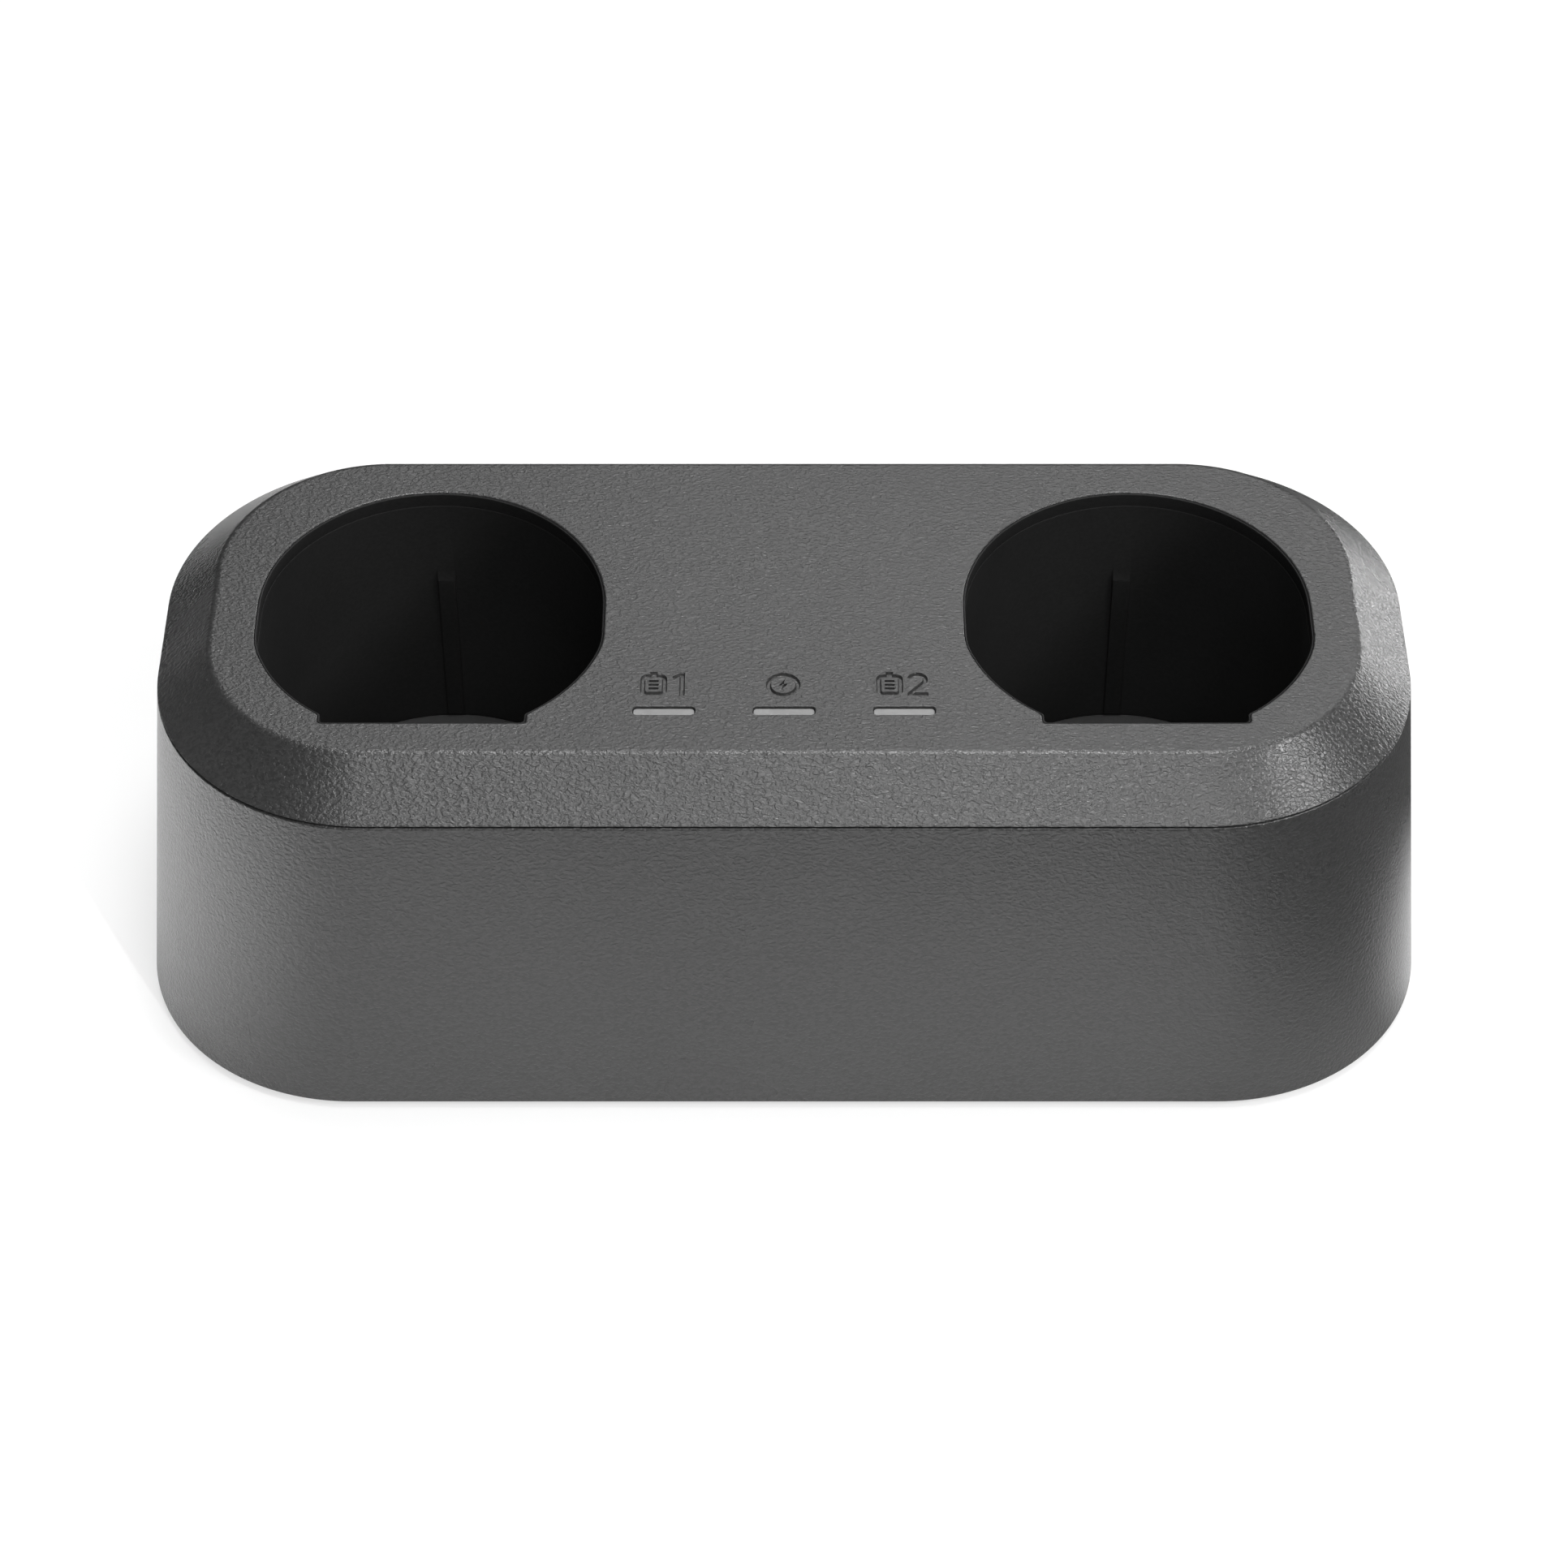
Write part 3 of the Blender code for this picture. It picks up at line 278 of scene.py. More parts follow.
def makeFleckGroup():       # sparse specks: dust, fillers and small pits
    tree, start, end = newGroup("fineFlecks", {"Scale": 900.0, "Amount": 0.12}, ("Mask",))
    cells = tree.nodes.new("ShaderNodeTexVoronoi")
    tree.links.new(start.outputs["Vector"], cells.inputs["Vector"])
    tree.links.new(start.outputs["Scale"], cells.inputs["Scale"])
    mask = rangeNode(tree, cells.outputs["Distance"], start.outputs["Amount"], fleckShape["core"], 0.0, 1.0)
    tree.links.new(mask, end.inputs["Mask"])
    return tree


grainGroup = makeGrainGroup()
driftGroup = makeDriftGroup()
fleckGroup = makeFleckGroup()


def startMaterial(name, colour, roughness, metallic=0.0):
    material = bpy.data.materials.new(name)
    material.use_nodes = True
    tree = material.node_tree
    shader = tree.nodes["Principled BSDF"]
    shader.inputs["Base Color"].default_value = (*colour, 1.0)
    shader.inputs["Roughness"].default_value = roughness
    shader.inputs["Metallic"].default_value = metallic
    coords = tree.nodes.new("ShaderNodeTexCoord")
    return material, tree, shader, coords.outputs["Object"]


def placeGroup(tree, group, vector, **values):
    node = tree.nodes.new("ShaderNodeGroup")
    node.node_tree = group
    tree.links.new(vector, node.inputs["Vector"])
    for label, value in values.items():
        node.inputs[label].default_value = value
    return node


def blendColour(tree, shader, factor, dark, light):
    mix = tree.nodes.new("ShaderNodeMix")
    mix.data_type = "RGBA"
    tree.links.new(factor, mix.inputs["Factor"])
    mix.inputs["A"].default_value = (*dark, 1.0)
    mix.inputs["B"].default_value = (*light, 1.0)
    tree.links.new(mix.outputs["Result"], shader.inputs["Base Color"])


def addBump(tree, shader, height, strength, depth):
    bump = tree.nodes.new("ShaderNodeBump")
    bump.inputs["Strength"].default_value = strength
    bump.inputs["Distance"].default_value = depth
    tree.links.new(height, bump.inputs["Height"])
    tree.links.new(bump.outputs["Normal"], shader.inputs["Normal"])


shadeDrift = {"scaleShare": 0.6, "high": 0.5}       # the slow change of shade under the grain


# a plastic, rubber or metal skin: two shades, a roughness that drifts, and a grain that stands up from it
def grainedFinish(name, dark, light, rough, grain, metallic=0.0, specular=0.5):
    material, tree, shader, vector = startMaterial(name, light, rough[0], metallic)
    shader.inputs["Specular IOR Level"].default_value = specular
    skin = placeGroup(tree, grainGroup, vector, Scale=grain["scale"], Streak=grain["streak"])
    drift = placeGroup(tree, driftGroup, vector, Scale=grain["drift"], Low=rough[0], High=rough[1])
    shade = placeGroup(tree, driftGroup, vector, Scale=grain["drift"] * shadeDrift["scaleShare"],
                       Low=0.0, High=shadeDrift["high"])
    tint = mathNode(tree, "MULTIPLY_ADD", skin.outputs["Tint"], grain["tint"], shade.outputs["Value"])
    blendColour(tree, shader, tint, dark, light)
    tree.links.new(drift.outputs["Value"], shader.inputs["Roughness"])
    addBump(tree, shader, skin.outputs["Height"], grain["strength"], grain["depth"])
    return material


def fleckedFinish(name, colour, fleck, rough, scale, amount, metallic=0.0):
    material, tree, shader, vector = startMaterial(name, colour, rough[0], metallic)
    specks = placeGroup(tree, fleckGroup, vector, Scale=scale, Amount=amount)
    drift = placeGroup(tree, driftGroup, vector, Scale=scale * fleckShape["driftShare"], Low=rough[0], High=rough[1])
    blendColour(tree, shader, specks.outputs["Mask"], colour, fleck)
    tree.links.new(drift.outputs["Value"], shader.inputs["Roughness"])
    addBump(tree, shader, specks.outputs["Mask"], fleckShape["strength"], fleckShape["depth"])
    return material


def grey(level):
    return (level, level, level)


finishes = {
    "housing": grainedFinish(
        "grainedGreyPlastic", grey(0.025), grey(0.043), (0.26, 0.31), specular=0.62,
        grain={"scale": 2300.0, "streak": 0.8, "drift": 35.0, "tint": 0.75, "strength": 0.9, "depth": 0.00006}),
    "liner": grainedFinish(
        "blackLinerPlastic", grey(0.014), grey(0.020), (0.5, 0.62), specular=0.15,
        grain={"scale": 2600.0, "streak": 0.4, "drift": 80.0, "tint": 0.5, "strength": 0.25, "depth": 0.00002}),
    "floor": grainedFinish(
        "darkGreyWellFloor", grey(0.034), grey(0.046), (0.5, 0.62),
        grain={"scale": 2200.0, "streak": 0.5, "drift": 70.0, "tint": 0.5, "strength": 0.35, "depth": 0.00003}),
    "base": grainedFinish(
        "greyBasePlastic", grey(0.044), grey(0.060), (0.5, 0.62),
        grain={"scale": 1700.0, "streak": 0.6, "drift": 40.0, "tint": 0.5, "strength": 0.4, "depth": 0.00005}),
    "rubber": grainedFinish(
        "blackFootRubber", grey(0.012), grey(0.022), (0.75, 0.9),
        grain={"scale": 2400.0, "streak": 0.2, "drift": 120.0, "tint": 0.5, "strength": 0.3, "depth": 0.00004}),
    "gold": grainedFinish(
        "goldPlatedPin", (0.72, 0.50, 0.20), (0.86, 0.64, 0.30), (0.2, 0.32), metallic=1.0,
        grain={"scale": 3000.0, "streak": 0.9, "drift": 400.0, "tint": 0.4, "strength": 0.12, "depth": 0.00001}),
    "steel": grainedFinish(
        "zincPlatedSteel", (0.42, 0.42, 0.43), grey(0.58), (0.28, 0.42), metallic=1.0,
        grain={"scale": 2600.0, "streak": 0.9, "drift": 300.0, "tint": 0.4, "strength": 0.12, "depth": 0.00001}),
    "aluminium": grainedFinish(
        "extrudedAluminium", (0.50, 0.51, 0.52), (0.64, 0.65, 0.66), (0.32, 0.45), metallic=1.0,
        grain={"scale": 1800.0, "streak": 1.0, "drift": 150.0, "tint": 0.4, "strength": 0.15, "depth": 0.00002}),
    "laminate": fleckedFinish(
        "greenBoardLaminate", (0.012, 0.085, 0.035), (0.03, 0.14, 0.06), (0.35, 0.5), 1200.0, 0.3),
    "epoxy": fleckedFinish(
        "mouldedChipEpoxy", (0.016, 0.016, 0.018), (0.035, 0.035, 0.036), (0.5, 0.65), 1800.0, 0.25),
    "ferrite": fleckedFinish("ferriteDrum", (0.045, 0.043, 0.042), (0.09, 0.085, 0.08), (0.5, 0.7), 1500.0, 0.25),
    "sleeve": fleckedFinish("capacitorSleeve", (0.010, 0.014, 0.04), (0.016, 0.022, 0.055), (0.25, 0.35), 700.0, 0.2),
    "ribbon": fleckedFinish("greyRibbonVinyl", (0.28, 0.29, 0.30), (0.34, 0.35, 0.36), (0.4, 0.5), 600.0, 0.25),
    "nylon": fleckedFinish("whiteSocketNylon", (0.66, 0.65, 0.61), (0.74, 0.73, 0.70), (0.42, 0.52), 900.0, 0.2),
    "led": fleckedFinish("ledResin", (0.66, 0.66, 0.58), (0.76, 0.76, 0.70), (0.25, 0.35), 1100.0, 0.2),
}
print("finishes made:", len(finishes))


pipeFinish = {"dark": grey(0.22), "light": grey(0.27), "rough": (0.38, 0.52),
              "hazeScale": 420.0, "roughScale": 900.0, "grainScale": 3200.0, "streak": 0.3,
              "strength": 0.2, "depth": 0.00002, "scatter": 0.25, "scatterReach": 0.0008}


def makePipeFinish():       # frosted clear plastic, grey while its lamp is off
    material, tree, shader, vector = startMaterial("frostedLightPipe", pipeFinish["light"], pipeFinish["rough"][0])
    haze = placeGroup(tree, driftGroup, vector, Scale=pipeFinish["hazeScale"], Low=0.0, High=1.0)
    rough = placeGroup(tree, driftGroup, vector, Scale=pipeFinish["roughScale"],
                       Low=pipeFinish["rough"][0], High=pipeFinish["rough"][1])
    grain = placeGroup(tree, grainGroup, vector, Scale=pipeFinish["grainScale"], Streak=pipeFinish["streak"])
    blendColour(tree, shader, haze.outputs["Value"], pipeFinish["dark"], pipeFinish["light"])
    tree.links.new(rough.outputs["Value"], shader.inputs["Roughness"])
    addBump(tree, shader, grain.outputs["Height"], pipeFinish["strength"], pipeFinish["depth"])
    shader.inputs["Subsurface Weight"].default_value = pipeFinish["scatter"]
    shader.inputs["Subsurface Radius"].default_value = (pipeFinish["scatterReach"],) * 3
    return material


finishes["pipe"] = makePipeFinish()

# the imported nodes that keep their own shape, each with its finish
nodeFinishes = {
    "steel": ["dc_inlet_pin", "indicator_screw_left", "indicator_screw_right"]
             + [f"board_screw_{i}" for i in range(1, 5)],
    "laminate": ["main_board", "indicator_board"],
    "epoxy": ["charge_controller"],
    "ferrite": ["charge_inductor_left", "charge_inductor_right"],
    "sleeve": ["filter_capacitor_left", "filter_capacitor_right"],
    "aluminium": ["heat_sink"],
    "ribbon": ["indicator_ribbon"],
    "nylon": ["ribbon_socket_upper", "ribbon_socket_lower"],
    "led": ["status_led_left", "status_led_centre", "status_led_right"],
}
for finish, names in nodeFinishes.items():
    for name in names:
        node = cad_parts[name]
        node.data.materials.clear()
        node.data.materials.append(finishes[finish])
print("inner nodes finished:", sum(len(names) for names in nodeFinishes.values()))

housing = {
    "halfX": 80.0, "halfY": 34.6, "corner": 28.0, "cornerSteps": 40,
    "bottom": 1.2, "shoulder": 47.0, "top": 53.3, "ceiling": 51.1,
    "flare": 4.2 / 45.8,                # outward lean of the wall for each unit down
    "slopeInset": 7.0, "slopeTurn": 41.99, "edgeRound": 1.3,
    "seam": 0.3, "lipOut": 2.7, "lipIn": 4.2, "lipLow": 43.5,
    "shellWall": 2.4, "footRound": 0.6, "lipRound": 0.25,
    "lipShares": ((0.9, 0.9), (0.25, 0.45), (0.1, 0.2), (0.3, 0.0)),     # of lipRound: inwards, and up from the seam
    "lipHigh": 48.0, "ceilingInset": 7.88,
}


def housingLoop(inset, height):
    return roundedLoop(housing["halfX"] - inset, housing["halfY"] - inset, housing["corner"] - inset, height,
                       housing["cornerSteps"])


def wallLoop(inset, height):
    lean = housing["flare"] * (housing["shoulder"] - height)
    return roundedLoop(housing["halfX"] + lean - inset, housing["halfY"] + lean - inset,
                       housing["corner"] - inset, height, housing["cornerSteps"])


well = {
    "bayX": 45.1, "backRadius": 22.2, "backY": -0.45,
    "frontRadius": 22.8, "frontY": -1.96, "cornerRadius": 12.0,
    "keyHalf": 13.0, "keyFlat": -22.35, "keyRound": 0.6,
    "floor": 13.7, "floorRound": 0.2, "ledge": 0.8, "plate": 2.5, "rimRound": 0.22,
    "steps": (36, 10, 14, 6),           # of the back, corner, front and key arcs
}


def wellLoop(bayX, grow, height):       # back arc, side, corner, front arc, key shoulder, key flat and back round
    back, front = well["backRadius"] + grow, well["frontRadius"] + grow
    keyX, flatY, turnIn = well["keyHalf"] + grow, well["keyFlat"] - grow, well["keyRound"]
    cornerX = well["backRadius"] - well["cornerRadius"]
    cornerDrop = math.sqrt((well["frontRadius"] - well["cornerRadius"]) ** 2 - cornerX ** 2)
    cornerY = well["frontY"] - cornerDrop
    cornerTurn = math.degrees(math.atan2(cornerDrop, cornerX))
    shoulderX = keyX + turnIn
    shoulderDrop = math.sqrt((front + turnIn) ** 2 - shoulderX ** 2)
    shoulderY = well["frontY"] - shoulderDrop
    shoulderTurn = math.degrees(math.atan2(shoulderDrop, shoulderX))
    sweep = shoulderTurn - cornerTurn
    backSteps, cornerSteps, frontSteps, keySteps = well["steps"]
    moves = [(bayX, well["backY"], -90, backSteps), (bayX + back, cornerY),
             (bayX + cornerX, cornerY, -cornerTurn, cornerSteps), (bayX, well["frontY"], -sweep, frontSteps),
             (bayX + shoulderX, shoulderY, shoulderTurn, keySteps), (bayX + keyX, flatY + turnIn),
             (bayX + keyX - turnIn, flatY + turnIn, -90, keySteps), (bayX - keyX + turnIn, flatY),
             (bayX - keyX + turnIn, flatY + turnIn, -90, keySteps), (bayX - keyX, shoulderY),
             (bayX - shoulderX, shoulderY, shoulderTurn, keySteps), (bayX, well["frontY"], -sweep, frontSteps),
             (bayX - cornerX, cornerY, -cornerTurn, cornerSteps), (bayX - back, well["backY"]),
             (bayX, well["backY"], -90, backSteps)]
    return traceOutline((bayX, well["backY"] + back), moves, height)


windows = {"pitch": 15.0, "y": -20.1, "halfX": 3.9, "halfY": 0.75, "corner": 0.6,
           "rimRound": 0.1, "pipeRound": 0.1, "flange": 1.0, "flangeTop": 50.8, "flangeLow": 49.6,
           "stemHalf": (1.6, 1.4), "stemCorner": 0.5, "stemTop": 48.6, "stemLow": 46.6,
           "below": 0.3, "clearance": 0.08, "steps": 10}
windowPlaces = {"left": -windows["pitch"], "centre": 0.0, "right": windows["pitch"]}


def windowLoop(x, grow, height):
    return roundedLoop(windows["halfX"] + grow, windows["halfY"] + grow, windows["corner"] + grow, height,
                       windows["steps"], x, windows["y"])


signs = {"depth": 0.34, "y": -15.4, "batteryLeft": -16.35, "batteryRight": 13.25, "one": -13.2, "power": -0.1,
         "two": 16.75, "batteryHalf": (1.36, 1.6), "batteryCorner": 0.55, "capHalf": 0.48, "capRise": 0.45,
         "stroke": 0.66, "barHalf": (0.64, 0.2), "barCorner": 0.12, "barStep": 0.68, "ring": 1.85,
         "wideLean": 0.17, "thinLean": 0.08, "digitRise": 0.1, "match": 0.01,
         "cornerSteps": 8, "barSteps": 3, "ringSteps": 56, "bowlSteps": 24}


# a mark is a region of the top, bounded by its outlines and sunk with leaning walls that catch the light
def sinkMark(bm, outlines, lean):
    faces = fillBetween(bm, [joinLoops(bm, [points])[0] for points in outlines])
    for face in faces:
        face.normal_update()
        if face.normal.z < 0:
            face.normal_flip()
    bmesh.ops.inset_region(bm, faces=faces, thickness=lean, depth=-signs["depth"], use_even_offset=True,
                           use_boundary=True)


def rimEdges(bm, points):       # the open edges left along an outline
    def near(vert):
        return min((vert.co - point).length for point in points) < signs["match"]
    return [e for e in bm.edges if len(e.link_faces) == 1 and all(near(v) for v in e.verts)]


def batterySign(bm, x):         # an upright cell with a cap, and three level bars inside it
    y, top, half = signs["y"], housing["top"], signs["stroke"] / 2
    halfX, halfY = (size + half for size in signs["batteryHalf"])
    corner, capX, capY = signs["batteryCorner"] + half, signs["capHalf"], y + halfY + signs["capRise"]
    left, right, front, back = x - halfX, x + halfX, y - halfY, y + halfY
    steps = signs["cornerSteps"]
    moves = [(right - corner, back - corner, 90, steps), (x + capX, back), (x + capX, capY), (x - capX, capY),
             (x - capX, back), (left + corner, back), (left + corner, back - corner, 90, steps),
             (left, front + corner), (left + corner, front + corner, 90, steps), (right - corner, front),
             (right - corner, front + corner, 90, steps), (right, back - corner)]
    outer = traceOutline((right, back - corner), moves, top)
    inner = roundedLoop(halfX - half * 2, halfY - half * 2, corner - half * 2, top, steps, x, y)
    bars = [roundedLoop(*signs["barHalf"], signs["barCorner"], top, signs["barSteps"], x, y + rise)
            for rise in (-signs["barStep"], 0.0, signs["barStep"])]
    sinkMark(bm, [outer, inner], signs["wideLean"])
    for bar in bars:
        sinkMark(bm, [bar], signs["thinLean"])
    fillBetween(bm, [rimEdges(bm, points) for points in [inner] + bars])
    return outer


def powerSign(bm, x):           # a bolt in a ring
    y, top, half = signs["y"], housing["top"], signs["stroke"] / 2
    bolt = [(0.22, 1.04), (-0.58, -0.14), (-0.08, -0.14), (-0.22, -1.04), (0.58, 0.18), (0.08, 0.18)]
    points = [(x + px, y + py) for px, py in bolt]
    spark = traceOutline(points[0], points[1:] + points[:1], top)
    outer, inner = (circleLoop(signs["ring"] + grow, top, signs["ringSteps"], x, y) for grow in (half, -half))
    sinkMark(bm, [outer, inner], signs["wideLean"])
    sinkMark(bm, [spark], signs["thinLean"])
    fillBetween(bm, [rimEdges(bm, points) for points in (inner, spark)])
    return outer


def digitOne(bm, x):
    y = signs["y"] + signs["digitRise"]
    shape = [(0.77, -2.1), (0.77, 2.12), (0.2, 2.12), (-0.86, 1.38), (-0.6, 0.86), (0.07, 1.28), (0.07, -2.1)]
    points = [(x + px, y + py) for px, py in shape]
    outline = traceOutline(points[0], points[1:] + points[:1], housing["top"])
    sinkMark(bm, [outline], signs["wideLean"])
    return outline


def digitTwo(bm, x):
    y, half = signs["y"] + signs["digitRise"], signs["stroke"] / 2
    radius, bowlY, begin, sweep = 0.98, y + 0.86, math.radians(168), -210
    end = begin + math.radians(sweep)
    start = (x + (radius + half) * math.cos(begin), bowlY + (radius + half) * math.sin(begin))
    turn = (x + (radius - half) * math.cos(end), bowlY + (radius - half) * math.sin(end))
    stem = [(-0.36, -1.48), (1.34, -1.48), (1.34, -2.12), (-1.3, -2.12), (-1.3, -1.62)]
    moves = [(x, bowlY, sweep, signs["bowlSteps"])] + [(x + px, y + py) for px, py in stem]
    moves += [turn, (x, bowlY, -sweep, signs["bowlSteps"]), start]
    outline = traceOutline(start, moves, housing["top"])
    sinkMark(bm, [outline], signs["wideLean"])
    return outline


def makeTopCover():
    bm = bmesh.new()
    slope = math.radians(housing["slopeTurn"])
    reach = housing["edgeRound"] * math.tan(slope / 2)
    outer = []
    for along, drop in roundOver(housing["edgeRound"], housing["slopeTurn"], roundSteps["shoulder"]):
        outer.append(housingLoop(housing["slopeInset"] + reach - along, housing["top"] - drop))
    seamTop = housing["shoulder"] + housing["seam"] / 2
    for inset, rise in housing["lipShares"]:
        outer.append(housingLoop(inset * housing["lipRound"], seamTop + rise * housing["lipRound"]))
    lipOut, lipIn, lipLow = housing["lipOut"], housing["lipIn"], housing["lipLow"]
    outer += [housingLoop(inset, height) for inset, height in (
        (lipOut, seamTop), (lipOut, lipLow), (lipIn, lipLow), (lipIn, housing["lipHigh"]),
        (housing["ceilingInset"], housing["ceiling"]))]
    rim, foot = joinLoops(bm, outer)
    rims, feet = [rim], [foot]
    openings = [(wellLoop, sign * well["bayX"], well["rimRound"], roundSteps["well"]) for sign in (-1, 1)]
    openings += [(windowLoop, x, windows["rimRound"], roundSteps["window"]) for x in windowPlaces.values()]
    for loopAt, x, edge, steps in openings:
        loops = [loopAt(x, edge - along, housing["top"] - drop) for along, drop in roundOver(edge, 90, steps)]
        rim, foot = joinLoops(bm, loops + [loopAt(x, 0.0, housing["ceiling"])])
        rims.append(rim)
        feet.append(foot)
    marks = [batterySign(bm, signs["batteryLeft"]), digitOne(bm, signs["one"]), powerSign(bm, signs["power"]),
             batterySign(bm, signs["batteryRight"]), digitTwo(bm, signs["two"])]
    rims += [rimEdges(bm, points) for points in marks]
    fillBetween(bm, rims)
    fillBetween(bm, feet)
    return makePiece("topCover", bm, finishes["housing"], "dock", ["top_cover"])


def rodTool(radius, start, end, segments):      # a cylinder along Y, used to bore the back wall and the inlet
    bm = bmesh.new()
    bmesh.ops.create_cone(bm, cap_ends=True, segments=segments, radius1=radius, radius2=radius,
                          depth=end[1] - start[1])
    bmesh.ops.rotate(bm, verts=bm.verts, matrix=Matrix.Rotation(math.pi / 2, 3, "X"))
    middle = (start[0], (start[1] + end[1]) / 2, start[2])
    bmesh.ops.translate(bm, verts=bm.verts, vec=middle)
    return closedMesh("tool", bm)


inlet = {"z": 12.3, "hole": 5.2, "nose": 4.55, "bore": 3.15, "noseY": 36.9,
         "blockBack": 34.4, "blockFront": 20.5, "boreY": 28.5, "halfX": 4.7,
         "low": 7.1, "high": 17.5, "holeFrom": 28.0, "holeTo": 46.0, "edge": 0.4, "noseEdge": 0.3, "boreEdge": 0.35,
         "noseRoot": 30.4, "pinHole": 1.3, "pinHoleY": 23.0, "overrun": 1.0}


def makeBodyShell():
    bm = bmesh.new()
    low, high, wall = housing["bottom"], housing["shoulder"] - housing["seam"] / 2, housing["shellWall"]
    edge = housing["footRound"]
    loops = [wallLoop(drop, low + along) for along, drop in reversed(roundOver(edge, 90, roundSteps["foot"]))]
    small = housing["lipRound"]
    loops += [wallLoop(drop, high - small + along) for along, drop in roundOver(small, 90, roundSteps["lip"])]
    loops += [wallLoop(wall, high), wallLoop(wall, low)]
    joinLoops(bm, loops, closed=True)
    z = inlet["z"]
    bm = carve(bm, [rodTool(inlet["hole"], (0, inlet["holeFrom"], z), (0, inlet["holeTo"], z), facets["inlet"])])
    return makePiece("bodyShell", bm, finishes["housing"], "dock", ["body_shell"])


cup = {"rimBelow": 0.14, "collarGap": 0.05, "collarWall": 0.22, "stepBelow": 2.1, "step": 0.06,
       "draft": 0.05, "outer": 0.6, "flange": 1.2, "flangeTop": 50.8, "flangeLow": 49.0,
       "foot": 13.2, "rimRound": 0.14, "ribWidth": 2.3, "ribProud": 0.5, "ribBelow": 9.8, "ribCap": 5.0,
       "ribRoot": 0.9, "ribNose": 0.2, "ribFoot": 0.3, "rimEdge": 0.05, "seatGap": 0.05,
       "stepShape": ((0.0, 0.02), (-0.04, -0.03), (-0.06, -0.1))}       # inwards and up from where the step is


def makeBatteryCup(side, sign):
    x = sign * well["bayX"]
    rim = housing["top"] - cup["rimBelow"]
    outside = -cup["collarGap"]
    inside = outside - cup["collarWall"]
    stepAt = housing["top"] - cup["stepBelow"]
    footInner = inside - cup["step"] - cup["draft"]
    places = [(cup["outer"], cup["foot"]), (cup["outer"], cup["flangeLow"]), (cup["flange"], cup["flangeLow"]),
              (cup["flange"], cup["flangeTop"]), (outside, cup["flangeTop"]), (outside, rim - cup["rimEdge"]),
              (outside - cup["rimEdge"], rim)]
    places += [(inside + cup["rimRound"] - along, rim - drop)
               for along, drop in roundOver(cup["rimRound"], 90, roundSteps["cup"])]
    places += [(inside + grow, stepAt + rise) for grow, rise in cup["stepShape"]]
    places.append((footInner, cup["foot"]))
    bm = bmesh.new()
    joinLoops(bm, [wellLoop(x, grow, height) for grow, height in places], closed=True)
    root = cup["ribRoot"]
    backY = well["backY"] + well["backRadius"] + footInner
    low, high = well["floor"] + cup["ribFoot"], housing["top"] - cup["ribBelow"]
    rib = newBox((cup["ribWidth"], cup["ribProud"] + root, high - low))
    bmesh.ops.translate(rib, verts=rib.verts, vec=(x, backY + (root - cup["ribProud"]) / 2, (low + high) / 2))
    crest = [v for v in rib.verts if v.co.z > (low + high) / 2 and v.co.y < backY]
    bmesh.ops.translate(rib, verts=crest, vec=(0.0, 0.0, -cup["ribCap"]))
    nose = [e for e in rib.edges if all(v.co.y < backY for v in e.verts)]
    roundEdges(rib, nose, cup["ribNose"], roundSteps["rib"])
    bm = carve(bm, [closedMesh("tool", rib)], "UNION")
    name = f"batteryCup{side.capitalize()}"
    return makePiece(name, bm, finishes["liner"], "dock", [f"battery_cup_{side}"])


contact = {"pitch": 7.0, "y": -8.0, "names": ("plus", "sense", "minus"), "radius": 1.3,
           "proud": 3.0, "collar": 2.1, "collarTop": -1.35, "collarLow": -2.45,
           "tail": 1.0, "tailLow": -3.1, "hole": 1.6, "countersink": 0.35,
           "neck": 0.1, "collarEdge": 0.15, "tailEdge": 0.2, "lip": -1.2, "pocket": 2.4, "barHalf": (10.4, 3.4),
           "barCorner": 3.2, "barLow": 7.1, "barSteps": 10}


def contactX(sign, step):
    return sign * well["bayX"] + (step - 1) * contact["pitch"]


def makeWellFloor(side, sign):
    x = sign * well["bayX"]
    seat = -(cup["collarGap"] + cup["collarWall"] + cup["step"] + cup["draft"] + cup["seatGap"])
    floor, edge = well["floor"], well["floorRound"]
    ledge, under = floor - well["ledge"], floor - well["plate"]
    bm = bmesh.new()
    loops = [wellLoop(x, seat - edge + along, floor - drop)
             for along, drop in roundOver(edge, 90, roundSteps["floor"])]
    loops += [wellLoop(x, seat, ledge), wellLoop(x, cup["outer"], ledge), wellLoop(x, cup["outer"], under)]
    rim, plateFoot = joinLoops(bm, loops)
    rims, feet = [rim], []
    lip, low, pocket = floor + contact["lip"], contact["barLow"], contact["pocket"]
    for step in range(len(contact["names"])):
        pinX, pinY, sink = contactX(sign, step), contact["y"], contact["countersink"]
        holes = [circleLoop(contact["hole"] + sink - along, floor - drop, facets["pin"], pinX, pinY)
                 for along, drop in roundOver(sink, 90, roundSteps["pin"])]
        holes += [circleLoop(radius, height, facets["pin"], pinX, pinY)
                  for radius, height in ((contact["hole"], lip), (pocket, lip), (pocket, low))]
        rim, foot = joinLoops(bm, holes)
        rims.append(rim)
        feet.append(foot)
    bar = [roundedLoop(*contact["barHalf"], contact["barCorner"], height, contact["barSteps"], x, contact["y"])
           for height in (under, low)]                  # it guides the contacts
    barRim, barFoot = joinLoops(bm, bar)
    fillBetween(bm, rims)
    fillBetween(bm, [plateFoot, barRim])
    fillBetween(bm, [barFoot] + feet)
    name = f"wellFloor{side.capitalize()}"
    return makePiece(name, bm, finishes["floor"], "dock", [f"contact_block_{side}"])


